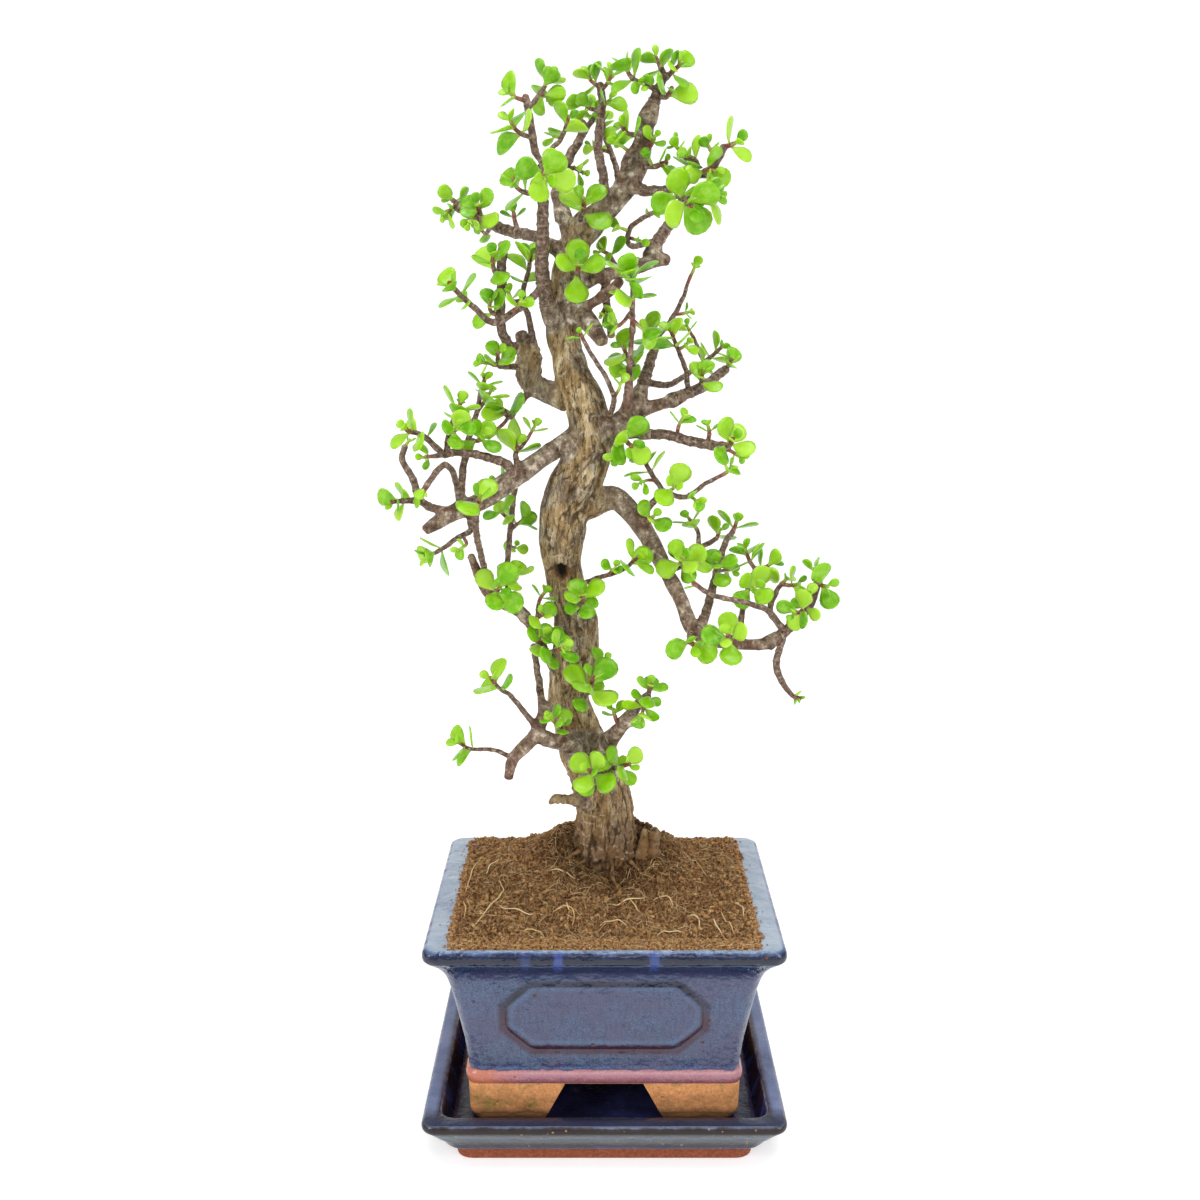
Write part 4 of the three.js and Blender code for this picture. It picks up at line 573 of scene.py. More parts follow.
  ["front_low_head", [1.3, 0.9, 3, 9, [-20, -16, 192], [-20, -22, 200], [-19, -25, 205]],
    [0.9, 0.7, 3, 7, [-20, -21, 198], [-23, -29, 207], [-25, -31, 211]]],
  ["trunk_front_low", [1.6, 1.1, 5, 13, [-3, -4, 172], [-5, -22, 179], [-7, -30, 184]]],
  ["trunk_right_low", [1.4, 0.9, 4, 11, [0, -4, 174], [6, -16, 180], [12, -22, 184]]],
  ["trunk_front_mid", [1.4, 1, 4, 14, [-14, 2, 204], [-10, -16, 213], [-6, -24, 223], [-5, -26, 228]],
    [0.9, 0.7, 2, 10, [-8, -20, 217], [-2, -14, 226], [0, -8, 231]]],
  ["right_low_end", [3, 1.8, 0, 0, [10, -18, 203], [15, -22, 212], [20, -26, 219]],
    [1.6, 0.9, 5, 9, [16, -24, 214], [20, -29, 220], [21, -32, 226]],
    [1, 0.7, 3, 9, [18, -27, 217], [17, -34, 213], [16, -36, 210]]],
  ["right_low_mid", [1.1, 0.8, 4, 8, [7, -14, 198], [5, -20, 206], [4, -22, 211]]],
  ["trunk_front_high", [1.3, 0.9, 4, 11, [-14, 2, 247], [-10, -16, 259], [-10, -22, 266]]],
  ["trunk_right_mid", [1.3, 0.8, 3, 11, [-13, 0, 264], [-2, -8, 270], [8, -16, 275], [16, -22, 283]],
    [0.8, 0.7, 2, 9, [2, -10, 271], [5, -20, 277]]],
  ["arch_front", [1.3, 0.9, 3, 10, [16, -1, 295], [20, -12, 297], [22, -18, 300]]],
  ["arch_rise", [1.8, 1.2, 0, 0, [16, -1, 296], [23, -8, 306], [26, -12, 311]],
    [1.3, 0.9, 3, 11, [26, -12, 311], [21, -10, 319], [17, -8, 326]],
    [0.8, 0.6, 2, 8, [24, -11, 315], [19, -16, 316], [15, -20, 315]],
    [1.3, 0.8, 0, 0, [26, -12, 311], [36, -18, 309], [44, -22, 315], [54, -26, 321]],
    [0.9, 0.7, 3, 12, [29, -14, 310], [31, -24, 315]],
    [0.9, 0.7, 2, 9, [38, -19, 310], [41, -26, 308]],
    [0.8, 0.6, 2, 9, [53, -25, 320], [56, -27, 324]]],
  ["arch_inner", [1.7, 1.2, 0, 0, [28, -8, 273], [38, 2, 274], [45, 12, 279], [54, 20, 283]],
    [1.1, 0.8, 4, 12, [36, 0, 273], [35, -14, 278], [35, -20, 282]],
    [1.2, 0.7, 3, 10, [45, 12, 279], [44, 14, 288], [39, 14, 295]],
    [1, 0.8, 3, 10, [54, 20, 283], [56, 24, 287]]],
  ["arch_lift", [2.4, 1.3, 0, 0, [43, -20, 247], [48, -10, 257], [52, -2, 270], [57, 8, 283], [61, 12, 288]],
    [1.1, 0.8, 4, 11, [60, 12, 287], [63, 14, 293]],
    [1.1, 0.8, 3, 11, [52, -2, 269], [51, -12, 278]],
    [0.9, 0.7, 2, 8, [53, -1, 271], [61, 8, 270]]],
  ["arch_middle", [1.5, 1.1, 0, 0, [62, -26, 243], [63, -16, 255], [67, -10, 268], [70, -6, 274]],
    [1, 0.8, 3, 10, [70, -6, 273], [66, -4, 279], [65, -2, 283]],
    [1, 0.8, 3, 10, [70, -6, 273], [75, -4, 274], [79, -2, 276]],
    [1, 0.8, 3, 11, [66, -11, 265], [68, -22, 268]]],
  ["arch_end", [2.7, 1.4, 0, 0, [73, -30, 244], [81, -28, 249], [89, -26, 256], [94, -23, 263],
      [97, -20, 272]],
    [1.2, 0.8, 1, 8, [94, -22, 265], [96, -18, 272], [95, -16, 276]],
    [1.1, 0.8, 4, 12, [96, -20, 270], [98, -26, 270], [100, -28, 270]],
    [1.2, 0.8, 4, 10, [92, -24, 259], [87, -34, 260], [83, -38, 260]],
    [0.9, 0.7, 2, 9, [89, -29, 260], [90, -34, 266], [90, -36, 270]],
    [1.7, 1.1, 0, 0, [75, -30, 245], [75, -22, 257], [78, -18, 265], [81, -16, 269]],
    [1, 0.8, 2, 8, [80, -16, 268], [83, -18, 272]],
    [1, 0.8, 3, 10, [81, -16, 268], [85, -20, 269], [88, -22, 270]],
    [1.4, 1.1, 1, 7, [74, -28, 245], [72, -36, 261], [62, -38, 265], [48, -36, 268], [39, -34, 273]],
    [1.9, 1, 2, 6, [74, -30, 241], [77, -34, 234], [83, -40, 224], [87, -42, 222]]],
  ["arch_head", [1.6, 1, 5, 13, [56, -25, 243], [56, -36, 248], [54, -42, 251]]],
  ["arch_head_left", [1.6, 1, 5, 13, [40, -18, 250], [38, -32, 246], [39, -38, 246]]],
  ["mid_low", [2.2, 2.2, 0, 0, [16, -8, 336], [28, -13, 336], [42, -20, 333], [54, -26, 332]],
    [1.5, 0.9, 4, 11, [51, -24, 332], [54, -32, 334], [55, -36, 337]],
    [0.9, 0.7, 2, 8, [52, -27, 333], [57, -24, 329], [60, -22, 327]],
    [1.1, 0.7, 2, 9, [45, -21, 332], [46, -22, 338], [45, -22, 342]],
    [0.9, 0.7, 2, 9, [32, -15, 336], [33, -18, 341], [35, -19, 345]]],
  ["mid_under", [1.4, 1, 4, 13, [4, -4, 336], [9, -16, 334], [12, -24, 332]],
    [0.9, 0.7, 2, 8, [6, -12, 335], [5, -18, 329], [4, -20, 326]]],
  ["mid_high", [2.8, 2.1, 0, 0, [30, 8, 349], [47, 16, 356], [57, 22, 363]],
    [1.3, 0.9, 3, 11, [55, 21, 362], [58, 20, 365], [59, 18, 368]],
    [1.1, 0.8, 3, 10, [41, 13, 353], [44, 6, 358], [45, 2, 364]],
    [1.3, 0.8, 3, 12, [39, 12, 353], [37, 4, 363], [32, -2, 375], [29, -4, 382]],
    [0.8, 0.7, 2, 9, [33, -1, 372], [37, -7, 376]]],
  ["mid_up", [3.2, 1.9, 0, 0, [15, 5, 349], [20, 15, 363], [25, 24, 377]],
    [1.2, 0.9, 3, 12, [24, 23, 375], [22, 20, 379], [21, 18, 382]],
    [1.7, 0.9, 4, 11, [18, 10, 356], [30, 18, 356], [40, 26, 361], [50, 30, 368], [56, 32, 373]],
    [1, 0.7, 2, 8, [47, 29, 366], [43, 34, 375], [39, 38, 383]],
    [1.2, 0.8, 4, 12, [17, 10, 357], [13, 4, 366], [9, 0, 372], [8, -2, 375]],
    [0.9, 0.7, 2, 10, [14, 6, 364], [10, -4, 365]],
    [1.5, 0.8, 0, 0, [21, 22, 375], [30, 28, 383], [36, 34, 393], [41, 38, 406]],
    [0.9, 0.7, 3, 11, [41, 38, 405], [43, 40, 410]],
    [0.8, 0.7, 2, 6, [33, 31, 387], [41, 32, 389]]],
  ["mid_stub_head", [1.3, 0.9, 7, 13, [12, -20, 381], [12, -24, 390], [12, -26, 401], [11, -28, 410]],
    [0.9, 0.7, 1, 13, [11, -26, 402], [11, -33, 405]],
    [0.9, 0.7, 1, 13, [12, -24, 393], [12, -32, 396]],
    [0.9, 0.7, 2, 9, [12, -21, 386], [6, -26, 384], [2, -28, 386]],
    [0.9, 0.7, 1, 13, [12, -22, 386], [17, -29, 382]]],
  ["red_riser", [1.3, 0.9, 2, 7, [1, -5, 339], [4, -20, 353], [0, -24, 363], [-7, -26, 374],
      [-11, -26, 382]],
    [0.8, 0.6, 1, 7, [4, -19, 351], [6, -22, 356], [7, -24, 360]]],
  ["mottled_drop", [1.8, 1.7, 0, 0, [1, 8, 405], [0, 2, 397], [2, -2, 387], [3, -4, 379]],
    [1, 0.8, 3, 9, [1, 0, 392], [-2, -10, 387]]],
  ["trunk_front_top", [1.3, 0.9, 4, 13, [-14, 0, 403], [-12, -16, 406], [-11, -22, 410]]],
  ["fork_front", [1.2, 0.9, 3, 12, [-12, 0, 424], [-9, -13, 432], [-9, -17, 437]]],
]
print("limbs", len(LIMBS), "sprays", len(SPRAYS))

# %% [markdown]
# Routes are read by length. The points in between lie on a smooth curve through the rows, because a limb
# bends where it was cut back, but never has a corner.

# %% Reading a route
def lengths_along(rows):
    steps = np.linalg.norm(np.diff(rows[:, :3], axis=0), axis=1)
    return np.concatenate([[0], np.cumsum(steps)])


def row_at(rows, length):
    """The row at a length along a route."""
    lengths = lengths_along(rows)
    return np.array([np.interp(length, lengths, rows[:, k]) for k in range(rows.shape[1])])


def stretch(rows, start, stop):
    """The part of a route from one length along it to another."""
    lengths = lengths_along(rows)
    kept = [rows[i] for i in range(len(rows)) if start + 0.5 < lengths[i] < stop - 0.5]
    return np.array([row_at(rows, start)] + kept + [row_at(rows, stop)])


def tapered(route, first, last):
    """A route with its radius, which thins evenly from first to last."""
    rows = np.array([list(point) + [0] for point in route], dtype=float)
    lengths = lengths_along(rows)
    rows[:, 3] = first + (last - first) * lengths / lengths[-1]
    return rows


def whole_steps(rows):
    """Rows about a millimetre apart along a route."""
    whole = lengths_along(rows)[-1]
    count = math.ceil(whole)
    return np.array([row_at(rows, whole * i / count) for i in range(count + 1)])


def curved(rows, step):
    """A smooth curve through the rows, as rows about one step apart."""
    padded = np.vstack([2 * rows[0] - rows[1], rows, 2 * rows[-1] - rows[-2]])
    padded[:, 3] = np.maximum(padded[:, 3], 0.3)
    out = []
    for i in range(len(rows) - 1):
        a, b, c, d = padded[i : i + 4]
        pieces = max(1, math.ceil(np.linalg.norm(c[:3] - b[:3]) / step))
        for k in range(pieces):
            t = k / pieces
            bend = 2 * b + (c - a) * t + (2 * a - 5 * b + 4 * c - d) * t * t + (3 * b - a - 3 * c + d) * t**3
            out.append(bend / 2)
    out.append(rows[-1])
    return np.array(out)


def noise_along(lengths, y, z):
    """Smooth noise from -1 to 1 at each of the lengths."""
    return np.array([noise.noise(Vector((v, y, z))) for v in lengths])


def frames(rows):
    """The direction of a route at each row, and two directions across it that turn as little as they can."""
    ahead = np.vstack([rows[1:], rows[-1:]])[:, :3]
    behind = np.vstack([rows[:1], rows[:-1]])[:, :3]
    along = ahead - behind
    along /= np.linalg.norm(along, axis=1)[:, None]
    across = np.cross((0, 1, 0), along[0])
    if np.linalg.norm(across) < 0.3:
        across = np.cross((1, 0, 0), along[0])
    sides = []
    for direction in along:
        across = across - direction * across.dot(direction)
        across = across / np.linalg.norm(across)
        sides.append(across)
    sides = np.array(sides)
    return along, sides, np.cross(along, sides)


class Shell:
    """Points, faces and named values for the points, gathered for one mesh from closed bodies."""

    def __init__(self, *names):
        self.points = []
        self.faces = []
        self.count = 0
        self.values = {name: [] for name in names}

    def put(self, points, faces, **values):
        self.points.append(points)
        self.faces += [tuple(i + self.count for i in face) for face in faces]
        for name, held in self.values.items():
            held.append(np.broadcast_to(values[name], (len(points),)))
        self.count += len(points)

    def mesh(self, name):
        mesh = bpy.data.meshes.new(name)
        points = np.vstack(self.points) * MM
        mesh.from_pydata(points.tolist(), [], self.faces)
        for value, held in self.values.items():
            layer = mesh.attributes.new(value, "FLOAT", "POINT")
            layer.data.foreach_set("value", np.concatenate(held).astype(np.float32))
        mesh.validate()
        mesh.shade_smooth()
        return mesh


def placed(name, mesh):
    piece = bpy.data.objects.new(name, mesh)
    bpy.context.scene.collection.objects.link(piece)
    return piece


def ring_faces(count, sides):
    """The faces between rings of points, each with that many sides."""
    faces = []
    for low in range(0, (count - 1) * sides, sides):
        for k in range(sides):
            n = (k + 1) % sides
            faces.append((low + k, low + n, low + sides + n, low + sides + k))
    return faces


def tube(rows, sides, tip=0.6):
    """A closed tube along the rows, with a flat foot and an end that is rounded by a share of its radius."""
    along, across, up = frames(rows)
    angles = 2 * math.pi * np.arange(sides) / sides
    cosine, sine = np.cos(angles)[None, :, None], np.sin(angles)[None, :, None]
    around = cosine * across[:, None, :] + sine * up[:, None, :]
    rings = rows[:, None, :3] + around * rows[:, None, 3:4]
    last = rows[-1, :3] + along[-1] * tip * rows[-1, 3]
    near_end = rows[-1, :3] + along[-1] * 0.75 * tip * rows[-1, 3] + around[-1] * 0.62 * rows[-1, 3]
    rings = np.concatenate([rings, near_end[None]])
    points = np.vstack([rings.reshape(-1, 3), rows[0, :3], last])
    count = len(rings)
    faces = ring_faces(count, sides)
    low, high = count * sides, count * sides + 1
    faces += [((k + 1) % sides, k, low) for k in range(sides)]
    faces += [((count - 1) * sides + k, (count - 1) * sides + (k + 1) % sides, high) for k in range(sides)]
    return points, faces


# %% [markdown]
# The first twig of a spray springs from a limb. The limb keeps the foot of that twig as a short spur, and the
# spray begins where it is clear of the wood, with its end let into the spur. A later twig begins on the
# nearest place of an earlier twig.

# %% Where each twig begins
limb_rows = [np.array(rows, dtype=float) for _, *rows in LIMBS]
limb_samples = [whole_steps(rows) for rows in limb_rows]
CLEAR_OF_WOOD = 1.2
SPRAY_GAP = 0.35


def clear_length(rows):
    """How far along its route a twig is clear of the limbs that it springs from."""
    whole = lengths_along(rows)[-1]
    length = 0
    s = 0
    while s < whole * 0.7:
        row = row_at(rows, s)
        touches = False
        for samples in limb_samples:
            away = np.linalg.norm(samples[:, :3] - row[:3], axis=1)
            nearest = int(np.argmin(away))
            touches = touches or away[nearest] < samples[nearest, 3] + row[3] + CLEAR_OF_WOOD
        if touches:
            length = s + 0.5
        elif length:
            break
        s += 0.5
    return length


SMALLEST_HEAD = 19  # the solid twigs with fewer or smaller leaves than this are left out there


def stems_of(twigs):
    """The spur of a spray, and its stems as (rows, pairs, leaf length, shown), with the solid ones first."""
    shown = [t for i, t in enumerate(twigs) if i == 0 or t[2] == 0 or t[2] * t[3] > SMALLEST_HEAD]
    stems = []
    spur = None
    for order, (first, last, pairs, leaf, *route) in enumerate(shown + [t for t in twigs if t not in shown]):
        rows = tapered(route, first, last)
        if order == 0:
            bare = clear_length(rows)
            spur = stretch(rows, 0, bare)
            rows = stretch(rows, bare + SPRAY_GAP, lengths_along(rows)[-1])
        else:
            hosts = [stem[0] for stem in stems]
            hosts[0] = stretch(hosts[0], first + 1.5, lengths_along(hosts[0])[-1])
            samples = np.vstack([whole_steps(host) for host in hosts])
            host = samples[int(np.argmin(np.linalg.norm(samples[:, :3] - rows[0, :3], axis=1)))]
            rows[0] = [host[0], host[1], host[2], min(first, host[3])]
        stems.append((rows, pairs, leaf, order < len(shown)))
    return spur, stems


spurs = []
spray_stems = []
for _, *twigs in SPRAYS:
    spur, stems = stems_of(twigs)
    spurs.append(spur)
    spray_stems.append(stems)
print("stems", sum(len(stems) for stems in spray_stems))

# %% [markdown]
# ## Wood
# An old dwarf jade has thin skin-like bark over soft wood. The trunk is tan and wrinkled, with long cracks,
# old cuts that healed to ovals with a raised lip, and one deep hollow, its inside painted near black as
# shade. The limbs are grey brown and ringed, one ring for every pair of leaves they once had. A branch ends
# blunt where it was cut.
# The limbs are made as tubes with a collar where they leave the trunk, then all are grown together into one
# skin with a voxel remesh. Every point of that skin then moves in or out by the bark pattern of its place.

# %% The skin of the wood
VOXEL = 0.79


def limb_curve(index, rows):
    """A limb's smooth curve, thicker where it leaves its parent and uneven along its length."""
    curve = curved(rows, 1.5)
    if index == 0:
        return curve
    s = lengths_along(curve)
    collar = 1 + 0.32 * np.exp(-((s / (2.2 * rows[0, 3])) ** 2))
    curve[:, 3] *= collar * (1 + 0.10 * noise_along(s / 7, index * 5.3, 1.7))
    return curve


skin_tubes = Shell()
curves = [limb_curve(i, rows) for i, rows in enumerate(limb_rows)]
for curve in curves:
    sides = 28 if curve[0, 3] > 9 else 14
    skin_tubes.put(*tube(curve, sides, tip=0.35))
spur_curves = []
for spur in spurs:
    along = spur[-1, :3] - spur[-2, :3]
    along /= np.linalg.norm(along)
    longer = np.vstack([spur, np.append(spur[-1, :3] + along * 0.15, spur[-1, 3])])
    curve = curved(longer, 1.5)
    s = lengths_along(curve)
    curve[:, 3] *= 1.08 + 0.3 * np.exp(-((s / (2.5 * spur[0, 3])) ** 2))
    spur_curves.append(curve)
    skin_tubes.put(*tube(curve, 10, tip=0.1))
wood = placed("bark_wood", skin_tubes.mesh("wood_skin"))
modified(wood, "REMESH", mode="VOXEL", voxel_size=VOXEL * MM, use_smooth_shade=True)
modified(wood, "SMOOTH", factor=0.5, iterations=4)
print("wood skin points", len(wood.data.vertices))

# %% [markdown]
# Each point of the skin looks up the nearest limb: how far along, at which side, and how thick the limb is
# there. Trunk bark gets long cracks and lumps, limb bark gets rings and paired leaf scars.

# %% Bark relief
HOLLOWS = [(-20, -5.5, 272.5, 3.6, 3.6), (-26, 0, 286, 1.8, 1.2)]  # x, y, z, radius and depth
# x, y, z, half width, half height and how far the top leans to the right
OVAL_SCARS = [(-9, -13, 312, 5.6, 13.5, 0.42), (-13, -6, 243, 2.6, 3, 0)]
FRAYED_TOP_Z = 158  # below this the bark at the foot of the trunk gets rough
KNOBBLY = [(-45, -27, 355, 376), (-32, -12, 150, 168)]  # x from and to, z from and to

THICK_WOOD = 5  # the radius from which a limb is found at its surface, far from its middle
nearest = kdtree.KDTree(sum(len(c) for c in curves) + sum(len(c) for c in spur_curves))
nearest_thick = kdtree.KDTree(sum(len(c) for c in curves))
lookup = []
for index, curve in enumerate(curves + spur_curves):
    along, across, up = frames(curve)
    s = lengths_along(curve)
    for k, row in enumerate(curve):
        nearest.insert(Vector(row[:3]), len(lookup))
        if row[3] > THICK_WOOD:
            nearest_thick.insert(Vector(row[:3]), len(lookup))
        lookup.append((index, s[k], row, along[k], across[k], up[k]))
nearest.balance()
nearest_thick.balance()


def bell(away, width):
    """1 in the middle, falling off smoothly with the width."""
    return math.exp(-((away / width) ** 2))


def ridged(place, width):
    """1 on the lines where the noise is zero, falling to 0 a width away."""
    return max(0, 1 - abs(noise.noise(place)) / width)


def bark(point):
    """How far the bark stands out here, in mm, and the girth, crack, ring and scar values of its colour."""
    close = nearest.find_n(point, 4) + nearest_thick.find_n(point, 2)
    best = min(close, key=lambda found: found[2] - lookup[found[1]][2][3])
    index, s, row, along, across, up = lookup[best[1]]
    away = np.array(point) - row[:3]
    s = s + away.dot(along)
    side = math.atan2(away.dot(up), away.dot(across))
    girth = row[3]
    x, y = girth * math.cos(side), girth * math.sin(side)
    trunk_share = min(1, max(0, (girth - 4.5) / 3.5))
    seed = index * 13.7
    lump = noise.noise(Vector((x / 6, y / 6, s / 9 + seed)))
    crack = ridged(Vector((x / 3.2, y / 3.2, s / 14 + seed)), 0.11)
    fine = ridged(Vector((x / 1.7, y / 1.7, s / 5 + seed)), 0.22)
    wander = 1.6 * noise.noise(Vector((x / 4, y / 4, s / 6 + seed)))
    ring = max(0, 1 - abs(((s + wander) / 5.8) % 1 - 0.5) / 0.10)
    ring *= 0.45 + 0.55 * noise.noise(Vector((x / 3, y / 3, s / 3 + seed)))
    scars = 0
    node = round(s / 8.6)
    if 1.4 < girth < 6 and node > 0:
        facing = side - (math.pi / 2) * (node % 2) - 0.4
        apart = abs((facing + math.pi / 2) % math.pi - math.pi / 2) * girth
        scars = math.exp(-((apart / 1.5) ** 2) - ((s - node * 8.6) / 1.1) ** 2)
    stands = trunk_share * (0.9 * lump - 0.6 * crack - 0.35 * fine)
    stands += (1 - trunk_share) * (0.22 * lump * min(1, girth / 3) - 0.12 * fine)
    stands = stands + 0.09 * ring + 0.35 * scars
    return stands, girth, crack * trunk_share + 0.5 * fine, ring, scars


heights = np.zeros(len(wood.data.vertices))
MARKS = ("girth", "crack", "ring", "scar", "hollow")
marks = {name: np.zeros(len(heights), dtype=np.float32) for name in MARKS}
for vertex in wood.data.vertices:
    point = vertex.co / MM
    stands, girth, crack, ring, scars = bark(point)
    hollow = 0
    lip = 0
    for x, y, z, radius, depth in HOLLOWS:
        away = (point - Vector((x, y, z))).length + 1.3 * noise.noise(point / 1.9)
        if away < 3 * radius:
            inside = math.exp(-((away / radius) ** 4))
            stands -= depth * inside
            stands += 0.9 * bell(away - 1.35 * radius, 0.4 * radius)
            hollow = max(hollow, inside)
    for x, y, z, half_width, half_height, lean in OVAL_SCARS:
        across = (point.x - x - lean * (point.z - z)) / half_width
        high = (point.z - z) / half_height
        if abs(across) < 1.6 and abs(high) < 1.6 and point.y < y + 7:
            oval = math.hypot(across, high) + 0.22 * noise.noise(point / 3.5)
            lip = max(lip, 0.75 * bell(oval - 1, 0.13))
            stands += 0.5 * bell(oval - 1.16, 0.14) - 0.8 * bell(oval - 0.98, 0.10)
            stands += 0.5 * max(0, 1 - oval * oval)
    if any(left < point.x < right and low < point.z < top for left, right, low, top in KNOBBLY):
        stands += 0.15 + 0.9 * noise.noise(point / 2.6) + 0.5 * noise.noise(point / 1.3)
        girth = 7
    frayed = min(1, max(0, (FRAYED_TOP_Z - point.z) / 30))
    tears = ridged(Vector((point.x, point.y, point.z / 3)) / 2.6, 0.25)
    torn = 1.2 * noise.noise(point / 3) + 0.7 * noise.noise(point / 1.3) - 1.3 * tears
    stands += frayed * torn
    heights[vertex.index] = stands
    crack = min(1, crack + lip + 0.6 * frayed * tears)
    for name, value in zip(MARKS, (girth, crack, ring, scars, hollow)):
        marks[name][vertex.index] = value
ends = np.array([edge.vertices for edge in wood.data.edges])
ends = np.concatenate([ends, ends[:, ::-1]])
neighbour_count = np.bincount(ends[:, 0], minlength=len(heights))
GIRTH_ROUNDS = 14  # of evening out, so that the colour of a twig's foot runs into the trunk's
for _ in range(GIRTH_ROUNDS):
    around = np.bincount(ends[:, 0], weights=marks["girth"][ends[:, 1]], minlength=len(heights))
    marks["girth"] = ((marks["girth"] + around / neighbour_count) / 2).astype(np.float32)
normals = np.array([v.normal for v in wood.data.vertices])
points = np.array([v.co for v in wood.data.vertices]) + normals * heights[:, None] * MM
wood.data.vertices.foreach_set("co", points.astype(np.float32).ravel())
for name, values in marks.items():
    layer = wood.data.attributes.new(name, "FLOAT", "POINT")
    layer.data.foreach_set("value", values)
wood.data.update()
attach(wood, "root")
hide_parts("wood")
print("wood relief from", round(heights.min(), 2), "to", round(heights.max(), 2), "mm")

# %% [markdown]
# ## Leafy sprays
# Dwarf jade leaves are small, fleshy and nearly round, narrow to the stem, and sit in opposite pairs, each
# pair a quarter turn from the last. The newest pair at the tip is small and stands up. The twigs are round,
# green and glossy when young and turn reddish brown with age.
# Each leaf is its own small closed body of a few dozen faces, with a flat rounded section. A leaf is turned
# or lifted until it is clear of the wood, of the other twigs and of the leaves before it.

# %% Leaves and twigs
PAIR_SIZES = [0.62, 0.95, 1, 0.92, 0.85, 0.8, 0.75]
PAIR_SPACING = [0.1, 0.26, 0.34, 0.42, 0.5, 0.55, 0.6]  # of a leaf's length, from the pair above
LIFTS = [46, 24, 12, 4, 0, 0, 0]
NODE_HEIGHT = 1.1
TREE_SEED = 20
LEAF_WIDTH = 0.82  # of its length
LATER_SIZE = 0.80  # of the leaves that only the finished tree has
LEAF_THICKNESS = 1.3
LEAF_CUP = 0.07
# along the leaf: share of its length, of its width and of its thickness
LEAF_STATIONS = [
    (0.00, 0.15, 0.60), (0.12, 0.22, 0.62), (0.30, 0.58, 0.80), (0.50, 0.91, 1.00), (0.68, 1.00, 1.00),
    (0.84, 0.84, 0.86), (0.95, 0.50, 0.60),
]
# round the section: share of the half width, and of the half thickness
LEAF_SECTION = [(-1, 0), (-0.6, 0.68), (0, 1), (0.6, 0.68), (1, 0), (0.5, -0.82), (-0.5, -0.82)]
# ways to turn, lift or shrink a leaf until it is clear: degrees turned, degrees lifted, size
CHANGES = [
    (0, 0, 1), (0, 18, 1), (25, 5, 1), (-25, 5, 1), (0, -25, 0.95), (0, 38, 0.9), (40, 15, 0.8),
    (-40, 15, 0.8), (0, 20, 0.65),
]


def draws(seed):
    """The random numbers of a spray, the same as those of its solid piece."""
    state = seed
    while True:
        state = (state * 1664525 + 1013904223) % 4294967296
        yield state / 4294967296


def pairs_of(rows, count, length, draw):
    """The leaf pairs of a stem, down from its tip."""
    whole = lengths_along(rows)[-1]
    pairs = []
    s = whole
    for i in range(count):
        s -= max(PAIR_SPACING[i] * length, NODE_HEIGHT + 0.3)
        leaves = []
        for _ in range(2):
            wobble = 24 * (next(draw) - 0.5)
            lift = LIFTS[i] + 18 * next(draw)
            size = length * (PAIR_SIZES[i] if count > 1 else 1) * (0.9 + 0.25 * next(draw))
            leaves.append((wobble, lift, size))
        pairs.append((s, leaves, i))
    return [pair for pair in pairs if pair[0] > whole * 0.15 + 1]


def leaf_hold(node, side, leaf, change):
    """The foot of a leaf, its three directions and its length."""
    centre, radius, along, across, up = node
    wobble, lift, size = leaf
    turn_by, lift_by, scale = change
    turn = math.radians(90 * side + wobble + turn_by)
    lift = math.radians(lift + lift_by)
    level = across * math.cos(turn) + up * math.sin(turn)
    right = up * math.cos(turn) - across * math.sin(turn)
    out = level * math.cos(lift) + along * math.sin(lift)
    top = np.cross(out, right)
    return centre + level * 0.6 * radius, out, right, top, size * scale


TEST_LENGTHS = (0.3, 0.45, 0.6, 0.75, 0.88, 1)
TEST_GRID = np.array([(u, v) for u in TEST_LENGTHS for v in (-0.85, -0.45, 0, 0.45, 0.85)])


def test_points(held):
    """Points spread over a leaf, to measure how near it comes to others."""
    foot, out, right, top, length = held
    u = TEST_GRID[:, :1]
    shares, widths, _ = zip(*LEAF_STATIONS, (1.05, 0.3, 0))
    v = TEST_GRID[:, 1:] * np.interp(TEST_GRID[:, 0], shares, widths)[:, None]
    return foot + out * u * length + right * v * length * LEAF_WIDTH / 2 + top * LEAF_CUP * length * v * v


class Neighbours:
    """What a new leaf must stay clear of: round things along routes, and the leaves so far."""

    def __init__(self):
        self.wood = np.vstack([np.hstack([c[:, :3], c[:, 3:4] + 0.9]) for c in curves + spur_curves])
        self.stems = []
        self.leaves = []

    def add_stem(self, rows, spray):
        samples = curved(rows, 1.2)
        self.stems.append((samples[:, :3].mean(axis=0), samples, spray))

    def clear(self, held, spray, stem):
        points = test_points(held)
        middle = points.mean(axis=0)
        reach = 1.3 * held[4]
        close = self.wood[np.linalg.norm(self.wood[:, :3] - middle, axis=1) < reach + 17]
        gap = np.linalg.norm(points[:, None] - close[None, :, :3], axis=2) - close[:, 3]
        if (gap < 0.3).any():
            return False
        for centre, samples, owner in self.stems:
            if owner == stem or np.linalg.norm(centre - middle) > reach + 45:
                continue
            gap = np.linalg.norm(points[:, None] - samples[None, :, :3], axis=2) - samples[:, 3]
            if (gap[5:] < (0.9 if owner[0] != spray else 0.7)).any():
                return False
        for other_middle, other_points, other_reach, owner in self.leaves:
            if owner == stem or np.linalg.norm(other_middle - middle) > reach + other_reach:
                continue
            if (np.linalg.norm(points[:, None] - other_points[None], axis=2) < 1.5).any():
                return False
        return True

    def add_leaf(self, held, stem):
        points = test_points(held)
        self.leaves.append((points.mean(axis=0), points, 0.7 * held[4], stem))


neighbours = Neighbours()
for spray, stems in enumerate(spray_stems):
    for number, (rows, *_) in enumerate(stems):
        neighbours.add_stem(rows, (spray, number))

